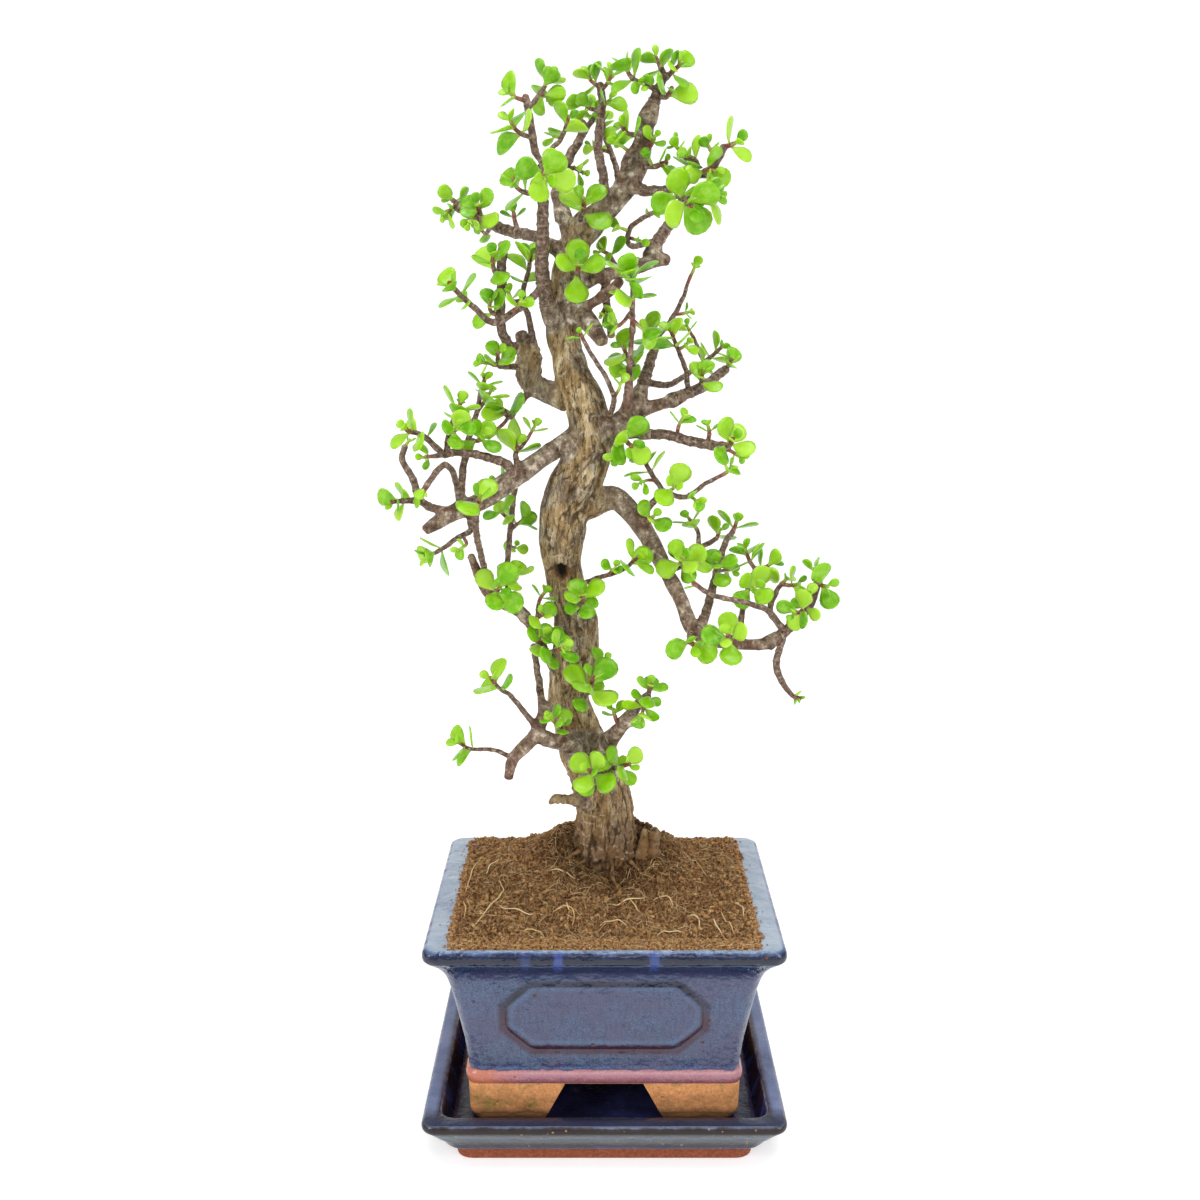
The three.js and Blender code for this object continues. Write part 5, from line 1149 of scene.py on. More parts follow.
# %% [markdown]
# The solid tree shows only the two strongest pairs of a stem. Those leaves find their place first, with the
# same draws. The tip pair, the older pairs and the small side twigs come after them, into the room left.

# %% A place for every leaf
leaves = [[] for _ in spray_stems]  # for each spray, how each leaf is held and its tone
later = []
SHORT_LEAF = 9


def node_at(rows, s, turn):
    """The centre, radius and directions of a stem at a length along it."""
    whole = lengths_along(rows)[-1]
    steps = np.array([row_at(rows, v) for v in np.linspace(0, whole, max(4, math.ceil(whole / 1.5)))])
    along, across, up = frames(steps)
    k = int(np.argmin(abs(np.linspace(0, whole, len(steps)) - s)))
    across, up = across[k], up[k]
    c, n = math.cos(math.radians(turn)), math.sin(math.radians(turn))
    return row_at(rows, s)[:3], row_at(rows, s)[3], along[k], across * c + up * n, up * c - across * n


def grow(spray, stem, node, side, leaf, tone, changes=CHANGES):
    """Puts a leaf in the first way of holding it that is clear, and says whether there was one."""
    for change in changes:
        held = leaf_hold(node, side, leaf, change)
        if neighbours.clear(held, spray, (spray, stem)):
            neighbours.add_leaf(held, (spray, stem))
            leaves[spray].append((held, tone))
            return True
    return False


for spray, stems in enumerate(spray_stems):
    draw = draws(TREE_SEED + 101 * spray)
    own = random.Random(500 + spray)
    for number, (rows, count, length, shown) in enumerate(stems):
        pairs = pairs_of(rows, count, length, draw)
        turn = 90 * next(draw)
        kept = pairs
        if shown:
            kept = pairs[1:] if len(pairs) > 1 else pairs
            kept = kept[:1] if length < SHORT_LEAF else kept[:2]
        for pair in pairs:
            s, pair_leaves, place = pair
            parity = (place - 1) % 2 if len(pairs) > 1 else 0
            node = node_at(rows, s, turn)
            for side, leaf in enumerate(pair_leaves):
                item = [spray, number, node, parity + 2 * side, leaf, own.random()]
                if shown and pair in kept:
                    grow(*item)
                else:
                    wobble, lift, size = leaf
                    item[4] = (wobble, lift, size * LATER_SIZE)
                    later.append(item)
placed_first = sum(len(found) for found in leaves)
missed = sum(not grow(*item) for item in later)
print("leaves", placed_first, "of the solid tree and", len(later) - missed, "more,", missed, "without room")


# %% [markdown]
# Now the leaves get their outline and their thickness, and the twigs their round section. Values on the
# points tell the material what it is looking at: leaf or twig, how old, how far along and across a leaf.

# %% Sprays
def leaf_body(held, own):
    """The points and faces of a leaf, and how far along and across it each point is."""
    foot, out, right, top, length = held
    half_width = length * LEAF_WIDTH / 2 * own.uniform(0.93, 1.07)
    half_thick = LEAF_THICKNESS / 2 * min(1, 0.55 + length / 25)
    curl = own.uniform(-0.15, 0.03)
    cup = own.uniform(0.3, 1.3) * LEAF_CUP
    skew = own.uniform(-0.05, 0.05)
    points, blade, edge = [], [], []
    for share, width, thickness in LEAF_STATIONS:
        for sideways, raised in LEAF_SECTION:
            across = sideways * width * half_width
            height = raised * thickness * half_thick + cup * length * (sideways * width) ** 2
            height += curl * length * share * share
            across += skew * length * share
            points.append(foot + out * length * share + right * across + top * height)
            blade.append(share)
            edge.append(abs(sideways) * width)
    points.append(foot + out * length + right * skew * length + top * curl * length)
    points.append(foot)
    blade += [1, 0]
    edge += [0.8, 0]
    count = len(LEAF_SECTION)
    faces = ring_faces(len(LEAF_STATIONS), count)
    end, tip, root = (len(LEAF_STATIONS) - 1) * count, len(points) - 2, len(points) - 1
    for k in range(count):
        n = (k + 1) % count
        faces.append((end + k, end + n, tip))
        faces.append((n, k, root))
    return np.array(points), faces, np.array(blade), np.array(edge)


NODE_PITCH = 5.2  # between the old leaf nodes of a twig, in millimetres
NODE_SWELL = 0.17  # how much thicker a node is
YOUNG_LENGTH = 14  # from the tip back to where a twig is all bark


def twig_body(rows, own):
    """A twig with swollen nodes, bent a little at each. Its values are its age, and the pale rings."""
    curve = curved(rows, 0.9)
    s = lengths_along(curve)
    pitch = NODE_PITCH * own.uniform(0.85, 1.15)
    start = own.uniform(0, pitch)
    off_node = (s + start + 0.9 * noise_along(s / 3, 5.1 * start, 4)) % pitch - pitch / 2
    node = np.exp(-((off_node / 0.6) ** 2))
    along, across, up = frames(curve)
    bend = noise_along(s / 5, 3.7 * start, 0)
    lean = noise_along(s / 5, 3.7 * start, 8)
    free = np.clip(s / 4, 0, 1) * np.clip((s[-1] - s) / 4, 0, 1)
    curve[:, :3] += (across * bend[:, None] + up * lean[:, None]) * (0.45 * free)[:, None]
    curve[:, 3] *= 1 + NODE_SWELL * node
    sides = 8 if curve[0, 3] > 1.2 else 6
    points, faces = tube(curve, sides)
    from_tip = s[-1] - s
    age = 0.55 * np.clip(from_tip / YOUNG_LENGTH, 0, 1)
    age = age + 0.45 * np.clip((rows[:, 3].mean() - 0.7) / 0.8, 0, 1)

    def on_points(values):
        return np.append(np.repeat(np.append(values, values[-1]), sides), [values[0], values[-1]])

    return points, faces, on_points(age), on_points(from_tip / 50), on_points(0.8 * node)


SUNK_IN_SPUR = 1.4  # how far the first twig of a spray starts inside the spur that carries it
spray_pieces = []
for spray, ((name, *_), stems) in enumerate(zip(SPRAYS, spray_stems)):
    own = random.Random(900 + spray)
    shell = Shell("stalk", "tone", "blade", "edge")
    for number, (rows, count, length, _) in enumerate(stems):
        if number == 0:
            step = rows[1, :3] - rows[0, :3]
            back = rows[0, :3] - step / np.linalg.norm(step) * SUNK_IN_SPUR
            rows = np.vstack([np.append(back, rows[0, 3] * 0.9), rows])
        points, faces, age, blade, edge = twig_body(rows, own)
        shell.put(points, faces, stalk=1, tone=age, blade=blade, edge=edge)
    for held, tone in leaves[spray]:
        points, faces, blade, edge = leaf_body(held, own)
        shell.put(points, faces, stalk=0, tone=tone, blade=blade, edge=edge)
    piece = placed("leafy_" + name, shell.mesh("leafy_" + name))
    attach(piece, "root")
    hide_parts("spray_" + name)
    spray_pieces.append(piece)
print("spray faces", sum(len(piece.data.polygons) for piece in spray_pieces))

# %% [markdown]
# ## Soil
# The pot is filled with coir and peat, heaped up to the foot of the trunk. It is loose and full of fibres.
# A fine level grid is raised to the heap, with lumps from noise, and closed below. Loose crumbs and fibres
# are laid on it as two more pieces, because a bump map can't give their ragged outline.

# %% The heap of soil
SOIL_EDGE_Z = 105.5
SOIL_BOTTOM_Z = millimetres("soil")[0][2]
MOUND_HEIGHT = 27
MOUND_REACH = 26
MOUND_REACH_LEFT = 31
FRONT_DIP = 0.40  # how much of the mound is missing in front, where the trunk shows down to its flare
TRUNK_X, TRUNK_Y, TRUNK_HOLE = 2, 12, 18.4
INSIDE_HALF_WIDTH, INSIDE_HALF_DEPTH = 69.4, 55.4
EDGE_RISE = 4.2  # how much higher than its solid piece the loose soil lies along the rim
POCKETS = [(8, -12, 9, 4), (30, 4, 6, 3), (-16, 2, 5, 2.5)]  # x, y, size and depth


def heap_height(x, y):
    """The soil's height in millimetres."""
    away_x, away_y = x - TRUNK_X, y - TRUNK_Y
    distance = max(1e-6, math.hypot(away_x, away_y))
    edge_x = (math.copysign(INSIDE_HALF_WIDTH, away_x) - TRUNK_X) / away_x if abs(away_x) > 1e-6 else 1e6
    edge_y = (math.copysign(INSIDE_HALF_DEPTH, away_y) - TRUNK_Y) / away_y if abs(away_y) > 1e-6 else 1e6
    reach = distance * min(edge_x, edge_y)
    outside_trunk = max(0, distance - TRUNK_HOLE)
    mound_reach = MOUND_REACH_LEFT if away_x < 0 else MOUND_REACH
    mound_height = MOUND_HEIGHT * (1 - FRONT_DIP * max(0, -away_y / distance)) - EDGE_RISE
    height = SOIL_EDGE_Z + EDGE_RISE + mound_height * math.exp(-((outside_trunk / mound_reach) ** 2))
    place = Vector((x, y, 0))
    rough = 1.8 * noise.noise(place / 13) + 2.3 * noise.noise(place / 5 + Vector((0, 0, 3)))
    rough += 2.6 * abs(noise.noise(place / 2.3 + Vector((0, 0, 7)))) + 1.3 * noise.noise(place / 1.1) - 0.4
    rough *= 0.4 + 0.6 * min(1, (reach - distance) / 8)
    height += rough
    for pocket_x, pocket_y, size, depth in POCKETS:
        pocket = math.hypot(x - pocket_x, (y - pocket_y) * 1.6) / size
        height -= depth * math.exp(-(pocket**2))
    if distance < TRUNK_HOLE - 3:
        height = max(SOIL_EDGE_Z - 7, height - 8 * (TRUNK_HOLE - 3 - distance))
    return height


GRID_STEP = 0.85
FLOOR_SHARE = (0.825, 0.735)  # the soil's width and depth at the floor, as shares of those at the top
nothing_selected()
across_count = round(2 * INSIDE_HALF_WIDTH / GRID_STEP)
deep_count = round(2 * INSIDE_HALF_DEPTH / GRID_STEP)
bpy.ops.mesh.primitive_grid_add(x_subdivisions=across_count, y_subdivisions=deep_count, size=1)
heap = bpy.context.object
heap.name = "coir_soil"
bpy.ops.transform.resize(value=(2 * INSIDE_HALF_WIDTH * MM, 2 * INSIDE_HALF_DEPTH * MM, 1))
bpy.ops.object.transform_apply()
edit_all()
bpy.ops.mesh.region_to_loop()
bpy.ops.mesh.extrude_edges_move(TRANSFORM_OT_translate={"value": (0, 0, (SOIL_BOTTOM_Z - SOIL_EDGE_Z) * MM)})
bpy.ops.transform.resize(value=(*FLOOR_SHARE, 1), center_override=(0, 0, 0))
bpy.ops.mesh.edge_face_add()
close_edit()
CORNER = 5
for vertex in heap.data.vertices:
    x, y, z = vertex.co / MM
    if z < -1:
        vertex.co.z = SOIL_BOTTOM_Z * MM
        continue
    over_x, over_y = abs(x) - (INSIDE_HALF_WIDTH - CORNER), abs(y) - (INSIDE_HALF_DEPTH - CORNER)
    if over_x > 0 and over_y > 0:
        square = max(over_x, over_y)
        shrink = square / math.hypot(over_x, over_y)
        x = math.copysign(INSIDE_HALF_WIDTH - CORNER + over_x * shrink, x)
        y = math.copysign(INSIDE_HALF_DEPTH - CORNER + over_y * shrink, y)
    vertex.co = Vector((x, y, heap_height(x, y))) * MM
heap.data.shade_smooth()
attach(heap, "root")
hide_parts("soil")
print("soil faces", len(heap.data.polygons))

# %% [markdown]
# Crumbs are dented twenty-sided balls. One is made, and its points are copied to every place with another
# turn, size and dent. Some lie over the inner edge of the rim, so the soil has no straight border.

# %% Crumbs
nothing_selected()
bpy.ops.mesh.primitive_ico_sphere_add(subdivisions=1, radius=1)
ball = bpy.context.object
ball_points = np.array([vertex.co for vertex in ball.data.vertices])
ball_faces = [tuple(face.vertices) for face in ball.data.polygons]
bpy.data.objects.remove(ball)
crumb_draw = random.Random(31)
crumbs = Shell("tint")


def turned(points, draw):
    """Points turned about a random axis."""
    axis = Vector((draw.gauss(0, 1), draw.gauss(0, 1), draw.gauss(0, 1))).normalized()
    turn = Matrix.Rotation(draw.uniform(0, 2 * math.pi), 3, axis)
    return points @ np.array(turn)


def lay_crumb(x, y, z, size):
    dents = np.array([crumb_draw.uniform(0.6, 1.15) for _ in ball_points])[:, None]
    shape = ball_points * dents * np.array([1, crumb_draw.uniform(0.5, 0.9), crumb_draw.uniform(0.45, 0.8)])
    place = np.array([x, y, z])
    crumbs.put(turned(shape * size, crumb_draw) + place, ball_faces, tint=crumb_draw.random())


CRUMBS_ON_SOIL = 4600
for _ in range(CRUMBS_ON_SOIL):
    x = crumb_draw.uniform(-68.6, 68.6)
    y = crumb_draw.uniform(-54.6, 54.6)
    if math.hypot(x - TRUNK_X, y - TRUNK_Y) < TRUNK_HOLE - 2.5:
        continue
    size = 0.45 + 1.9 * crumb_draw.random() ** 3
    lay_crumb(x, y, heap_height(x, y) + 0.25 * size, size)
CRUMBS_ON_SIDE_RIMS = 500
for _ in range(CRUMBS_ON_SIDE_RIMS):
    x = 69.6 + 1.3 * abs(crumb_draw.gauss(0, 1)) ** 1.5
    y = crumb_draw.uniform(-60, 58)
    size = crumb_draw.uniform(0.4, 1.3) * (1 if x < 72.5 else 0.5)
    if x < 78:
        lay_crumb(math.copysign(x, crumb_draw.uniform(-1, 1)), y, POT_RIM_Z + 0.3 * size, size)
CRUMBS_ON_FRONT_RIM = 1900
for _ in range(CRUMBS_ON_FRONT_RIM):
    x = crumb_draw.uniform(-70.5, 70.5)
    y = -crumb_draw.uniform(53.5, 62.6)
    size = crumb_draw.uniform(0.5, 1.5) * (1 if y > -61 else 0.6)
    lay_crumb(x, y, POT_RIM_Z + 0.5 + 0.3 * size, size)
CRUMBS_ON_BACK_RIM = 900
for _ in range(CRUMBS_ON_BACK_RIM):
    x = crumb_draw.uniform(-69.5, 69.5)
    y = crumb_draw.uniform(54, 60.5)
    size = crumb_draw.uniform(0.5, 1.4)
    lay_crumb(x, y, POT_RIM_Z + 0.4 + 0.3 * size, size)

# %% [markdown]
# The pot is filled to the brim, so soil also lies on the flat rim in front and behind. There it is a thin
# ragged layer, thickest at the inner edge, and closed below like the heap. Crumbs hide its border.

# %% Soil on the rim
# each layer's lowest and highest x and y, in millimetres
RIM_LAYERS = [
    (-70.6, -62, 70.6, -54.4), (-69.6, 52.8, 69.6, 60), (-71.6, -55, -68.6, 55),
    (68.6, -55, 71.6, 55),
]
RIM_LAYER_STEP = 1.2
RIM_LAYER_THICK = 0.9


def lay_on_rim(low_x, low_y, high_x, high_y):
    """A thin closed layer of soil with a ragged border."""
    across = max(2, round((high_x - low_x) / RIM_LAYER_STEP))
    deep = max(2, round((high_y - low_y) / RIM_LAYER_STEP))
    top = []
    for i in range(across + 1):
        for k in range(deep + 1):
            x = low_x + (high_x - low_x) * i / across
            y = low_y + (high_y - low_y) * k / deep
            place = Vector((x / 2.6, y / 2.6, 5))
            border = i in (0, across) or k in (0, deep)
            thick = RIM_LAYER_THICK * (0.15 if border else 0.7 + 0.6 * noise.noise(place * 1.7))
            x += 0.8 * noise.noise(place + Vector((9, 0, 0)))
            y += 0.7 * noise.noise(place + Vector((0, 9, 0)))
            top.append((x, y, POT_RIM_Z + max(0.1, thick)))
    bottom = [(x, y, POT_RIM_Z - 0.1) for x, y, _ in top]
    row = deep + 1
    count = len(top)
    faces = []
    for i in range(across):
        for k in range(deep):
            a, b, c, d = i * row + k, (i + 1) * row + k, (i + 1) * row + k + 1, i * row + k + 1
            faces += [(a, b, c, d), (a + count, d + count, c + count, b + count)]
    loop = [i * row for i in range(across)] + [across * row + k for k in range(deep)]
    loop += [i * row + deep for i in range(across, 0, -1)] + list(range(deep, 0, -1))
    faces += [(b, a, a + count, b + count) for a, b in zip(loop, loop[1:] + loop[:1])]
    crumbs.put(np.array(top + bottom), faces, tint=0.35)


for layer in RIM_LAYERS:
    lay_on_rim(*layer)
crumb_piece = placed("soil_crumbs", crumbs.mesh("soil_crumbs"))
crumb_piece.data.shade_flat()
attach(crumb_piece, "root")
print("crumb faces", len(crumb_piece.data.polygons))

# %% [markdown]
# Coir is short, thin and tangled, with a few long pale strands that were teased out of the block. A fibre is
# a thin bent tube that lies along the heap and lifts off it in a low arch. The long strands have their own
# routes, because they are the ones that the eye picks out.

# %% Fibres
fibre_draw = random.Random(47)
fibres = Shell("tint")


def surface_height(x, y):
    """The height of what a fibre lies on: the soil, or the crumbs on the rim."""
    inside = abs(x) < INSIDE_HALF_WIDTH and abs(y) < INSIDE_HALF_DEPTH
    return heap_height(x, y) if inside else POT_RIM_Z + 0.9


def lay_fibre(x, y, heading, length, radius, lift, bend, tint):
    """A fibre that starts at x, y and wanders over the heap."""
    steps = max(3, round(length / 1.8))
    rows = []
    drift = 0
    for i in range(steps + 1):
        share = i / steps
        x = max(-68.8, min(68.8, x))
        y = max(-61.5, min(54.8, y))
        if math.hypot(x - TRUNK_X, y - TRUNK_Y) < TRUNK_HOLE - 2:
            break
        z = surface_height(x, y) + radius + lift * math.sin(math.pi * share) + 0.15
        rows.append([x, y, z, radius * (1 - 0.5 * share)])
        drift = 0.5 * drift + fibre_draw.gauss(0, 0.3)
        heading += bend / steps + drift
        x += math.cos(heading) * length / steps
        y += math.sin(heading) * length / steps
    if len(rows) >= 3:
        rows = np.array(rows)
        rows[1:-1, 2] = (rows[:-2, 2] + 2 * rows[1:-1, 2] + rows[2:, 2]) / 4 + 0.2
        fibres.put(*tube(rows, 3, tip=0.3), tint=tint)


FINE_FIBRES = 4400
COARSE_FIBRES = 90
between = fibre_draw.uniform
for _ in range(FINE_FIBRES):
    x, y, heading = between(-68, 68), between(-62, 54), between(0, 2 * math.pi)
    length, radius = 2.5 + 6.5 * fibre_draw.random() ** 1.5, between(0.07, 0.15)
    lay_fibre(x, y, heading, length, radius, between(0, 1.1), between(-1.2, 1.2), between(0.2, 0.95))
for _ in range(COARSE_FIBRES):
    x, y, heading = between(-66, 66), between(-56, 44), between(0, 2 * math.pi)
    length, radius = between(8, 18), between(0.12, 0.22)
    lay_fibre(x, y, heading, length, radius, between(0.3, 1.8), between(-1.6, 1.6), between(0.3, 0.85))
# the long pale strands, as x and y along each
STRANDS = [
    [(-68, -6), (-67, 8), (-66, 20), (-63, 36)],
    [(-61, -40), (-55, -26), (-50, -15), (-49, -10), (-52, -2)],
    [(-50, -24), (-42, -30), (-35, -34), (-28, -35)],
    [(-26, -35), (-21, -31), (-16, -32), (-14, -38), (-15, -43)], [(-18, -26), (-17, -32), (-15, -36)],
    [(2, -29), (10, -26), (19, -25)], [(12, -25), (14, -29), (16, -33)],
    [(22, -25), (27, -21), (31, -22), (33, -28)], [(51, -31), (52, -40), (55, -49)],
    [(55, -26), (57, -34), (60, -48)], [(-31, -9), (-24, -8), (-12, -14)], [(-59, 9), (-57, 17), (-53, 21)],
    [(-68, -16), (-66, -24), (-66, -31)], [(63, -17), (66, -22), (66, -29)],
    [(39, -31), (44, -35), (44, -42)], [(-40, -48), (-33, -45), (-27, -50)],
    [(-2, -44), (4, -40), (11, -42)], [(24, -49), (30, -46), (38, -50)],
]
for index, route in enumerate(STRANDS):
    radius = 0.17 + 0.04 * (index % 3)
    rows = curved(np.array([[x, y, 0, radius] for x, y in route], dtype=float), 1.6)
    lengths = lengths_along(rows)
    arch = np.sin(math.pi * lengths / lengths[-1])
    for row, lift in zip(rows, arch):
        row[2] = heap_height(row[0], row[1])
        row[3] *= 0.6 + 0.4 * lift
    rows[1:-1, 2] = (rows[:-2, 2] + rows[1:-1, 2] + rows[2:, 2]) / 3
    rows[:, 2] += 0.6 + arch
    fibres.put(*tube(rows, 5, tip=0.3), tint=0.78 + 0.07 * (index % 3))
fibre_piece = placed("soil_fibres", fibres.mesh("soil_fibres"))
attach(fibre_piece, "root")
print("fibre faces", len(fibre_piece.data.polygons))

# %% [markdown]
# At the foot of the trunk, old roots show above the soil: two stubs on the right, and a few that bend down
# into the heap in front. They are short tubes with uneven thickness, set into the soil and against the bark.

# %% Roots at the foot of the trunk
ROOTS = [
    [[21, 6, 117, 4], [24, 5, 127, 4], [25, 5, 135, 3.2], [25, 5, 140, 2.2]],
    [[17, 3, 115, 4], [19, 4, 127, 3.6], [20, 5, 135, 2.6], [20, 6, 139, 1.6]],
    [
        [-8, -1, 127, 0.9], [-14, -6, 125, 0.8], [-21, -12, 122, 0.7], [-28, -19, 117, 0.5],
        [-32, -23, 113, 0.4],
    ],
    [[4, -4, 124, 0.9], [4, -9, 121, 0.8], [7, -13, 116, 0.6], [8, -15, 109, 0.5]],
    [[13, -2, 126, 1.1], [17, -7, 123, 0.8], [21, -13, 117, 0.6]],
    [[-12, 2, 130, 1.2], [-18, -1, 127, 0.9], [-23, -5, 122, 0.7]],
    [[18, 18, 129, 2.6], [25, 20, 123, 2], [31, 22, 115, 1.4]],
    [[-10, 24, 129, 2.4], [-16, 30, 124, 2], [-22, 34, 115, 1.3]],
    [[4, 28, 129, 2.6], [6, 36, 123, 2], [9, 43, 113, 1.3]],
]
ROOT_SIDES = 10
root_shell = Shell("girth", "crack", "ring", "scar", "hollow")
for index, rows in enumerate(ROOTS):
    curve = curved(np.array(rows, dtype=float), 1)
    s = lengths_along(curve)
    curve[:, 3] *= 1 + 0.35 * noise_along(s / 2.2, index * 3.1, 0.4)
    points, faces = tube(curve, ROOT_SIDES, tip=0.5)
    uneven = np.array([noise.noise(Vector(p) / 1.6) for p in points])
    centres = np.repeat(curve[:, :3], ROOT_SIDES, axis=0)
    ends = np.vstack([np.repeat(curve[-1:, :3], ROOT_SIDES, axis=0), curve[:1, :3], curve[-1:, :3]])
    centres = np.vstack([centres, ends])
    points = points + (points - centres) * 0.35 * uneven[:, None]
    root_shell.put(points, faces, girth=9, crack=np.clip(uneven * 2, 0, 1), ring=0, scar=0, hollow=0)
root_piece = placed("surface_roots", root_shell.mesh("surface_roots"))
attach(root_piece, "root")
print("root faces", len(root_piece.data.polygons))


# %% [markdown]
# ## Finishes
# Every material is built from the real one. Its colours are mixed by noise at sizes in millimetres, by the
# height on the piece, and by the values that the pieces above carry on their points.

# %% Helpers for patterns
# A MapRange takes a value, the two places between which it runs, and what it gives there. A Mix takes the
# share of its second colour, then both colours. The helpers use the add of the material that is being made.
COLOUR = {"data_type": "RGBA"}
PLUS = {"operation": "ADD"}
MINUS = {"operation": "SUBTRACT"}
TIMES = {"operation": "MULTIPLY"}
LARGER = {"operation": "MAXIMUM"}
SIZE_OF = {"operation": "ABSOLUTE"}
BELOW = {"operation": "LESS_THAN"}
TO_MM = 1000


def laid(under, over, *run):
    """A colour laid over another, as strong as a MapRange with this run says."""
    return add("Mix", add("MapRange", *run), under, over, **COLOUR)


def spots(place, spacing, radius, share):
    """Round spots of a radius, one in some of the cells of a spacing, all in millimetres."""
    cells = add("TexVoronoi", place, Scale=per_mm(spacing), Randomness=1)
    near = add("MapRange", cells, 0.6 * radius / spacing, 1.1 * radius / spacing, 1, 0)
    chosen = add("SeparateColor", (cells, "Color"))
    return add("Math", near, add("Math", (chosen, "Red"), share, **BELOW), **TIMES)


def by_height(level, low, high, stops):
    """Colours by height, with each stop given in millimetres."""
    share = add("MapRange", level, low, high)
    return add("ValToRGB", share, stops=[((z - low) / (high - low), colour) for z, colour in stops])


def stretched_noise(place, size, stretch, detail, rough):
    """Noise with features of a size in millimetres, drawn out along an axis where stretch is below 1."""
    drawn = add("Mapping", place, Scale=stretch)
    return add("TexNoise", drawn, per_mm(size), detail, rough)


# %% [markdown]
# Bark of dwarf jade: thin, dry and matt. The trunk is tan with fine brown cracks and grey patches. Limbs are
# purplish grey brown with pale rings, and the thinnest wood is reddish. Fresh cuts and scars are ochre. The
# inside of the hollow gets painted shade, near black.

# %% Bark
bark_finish, add, finish = new_material("dwarf_jade_bark")
place = (add("TexCoord"), "Object")
girth, crack, ring, scar, hollow = [
    (add("Attribute", attribute_name=name), "Fac") for name in ("girth", "crack", "ring", "scar", "hollow")
]
patches = add("TexNoise", place, per_mm(16), 4, 0.6)
blotches = add("TexNoise", place, per_mm(4.5), 5, 0.65)
grain = stretched_noise(place, 1.4, (1, 1, 0.28), 4, 0.7)
streaks = stretched_noise(place, 4, (1, 1, 0.3), 5, 0.65)
tan_stops = [(0.32, "#6C5032"), (0.42, "#967A50"), (0.54, "#B69C70"), (0.67, "#DCC8A2")]
trunk_tan = add("ValToRGB", streaks, stops=tan_stops)
trunk_grey = add("ValToRGB", streaks, stops=[(0.32, "#5B4B37"), (0.49, "#92826C"), (0.67, "#CBBEA8")])
trunk_colour = laid(trunk_tan, trunk_grey, patches, 0.48, 0.62)
limb_stops = [(0.33, "#3E2F24"), (0.44, "#756352"), (0.56, "#A08F7C"), (0.65, "#E2D6C4")]
limb_colour = add("ValToRGB", blotches, stops=limb_stops)
twig_colour = add("ValToRGB", blotches, stops=[(0.3, "#453027"), (0.5, "#7A5A4B"), (0.7, "#B6A08E")])
by_girth = laid(twig_colour, limb_colour, girth, 2.2, 4.2)
trunk_share = add("MapRange", girth, 5.2, 7.6)
by_girth = add("Mix", trunk_share, by_girth, trunk_colour, **COLOUR)
grained = laid(by_girth, "#443120", grain, 0.34, 0.5, 0.6, 0)
wrinkle = stretched_noise(place, 3.2, (1, 1, 0.16), 4, 0.6)
off_wrinkle = add("Math", add("Math", wrinkle, 0.5, **MINUS), **SIZE_OF)
wrinkle_share = add("MapRange", off_wrinkle, 0.004, 0.026, 0.75, 0)
wrinkle_share = add("Math", wrinkle_share, trunk_share, **TIMES)
grained = add("Mix", wrinkle_share, grained, "#3E2C1B", **COLOUR)
height = add("Math", (add("SeparateXYZ", place), "Z"), TO_MM, **TIMES)
grained = laid(grained, "#74502C", height, 168, 130, 0, 0.72)
ringed = laid(grained, "#D0C1AE", ring, 0.15, 0.6, 0, 0.7)
cracked = laid(ringed, "#3C2A1A", crack, 0.32, 0.95, 0, 0.85)
scarred = laid(cracked, "#A99A6E", scar, 0.3, 0.9, 0, 0.6)
scarred = laid(scarred, "#6B4320", hollow, 0.02, 0.3, 0, 0.6)
# Deep in the hollow the bark is painted near black: painted shade in the recess.
bark_with_hollow_shade = laid(scarred, "#1E140C", hollow, 0.3, 0.8)
fine = add("TexNoise", place, per_mm(0.9), 5, 0.75)
relief = add("Math", grain, add("Math", fine, 0.6, **TIMES), **PLUS)
finish(Base_Color=bark_with_hollow_shade, Roughness=0.82, Specular_IOR_Level=0.3)
finish(Normal=add("Bump", Height=relief, Distance=0.8 * MM))
coat(bark_finish, wood, root_piece)

# %% [markdown]
# Jade leaves: living tissue full of water under a smooth waxy skin. They are glossy, a bit see-through, and
# lighter to yellow green when young, with a pale painted sheen along the rim. Twigs turn from green at the
# tip to reddish brown bark with dry rings.

# %% Leaf and twig
leaf_skin, add, finish = new_material("waxy_jade_leaf")
place = (add("TexCoord"), "Object")
tone, blade, edge, stalk = [
    (add("Attribute", attribute_name=name), "Fac") for name in ("tone", "blade", "edge", "stalk")
]
leaf_stops = [(0, "#569C00"), (0.35, "#72B002"), (0.7, "#8AC008"), (1, "#A4D034")]
leaf_colour = add("ValToRGB", tone, stops=leaf_stops)
mottle = add("TexNoise", place, per_mm(3.5), 3, 0.6)
mottled = laid(leaf_colour, "#AAD452", mottle, 0.42, 0.68, 0, 0.45)
footed = laid(mottled, "#C0E070", blade, 0, 0.35, 0.6, 0)
# The pale colour along a leaf's rim is a painted sheen, the light that its glossy curved edge catches.
leaf_with_rim_sheen = laid(footed, "#D2EA90", edge, 0.78, 1, 0, 0.65)
skin_noise = add("TexNoise", place, per_mm(1.8), 4, 0.7)
old_stops = [(0.30, "#392A22"), (0.46, "#5F493D"), (0.58, "#7F6A5A"), (0.70, "#B4A290")]
old_twig = add("ValToRGB", skin_noise, stops=old_stops)
red_twig = add("ValToRGB", skin_noise, stops=[(0.32, "#5E2A1E"), (0.5, "#87483C"), (0.66, "#A27060")])
young_twig = add("ValToRGB", skin_noise, stops=[(0.35, "#86B030"), (0.65, "#B4CC58")])
twig_colour = laid(young_twig, red_twig, tone, 0.12, 0.26)
twig_colour = laid(twig_colour, old_twig, tone, 0.28, 0.48)
ringed_twig = laid(twig_colour, "#BCA894", edge, 0.35, 0.9, 0, 0.4)
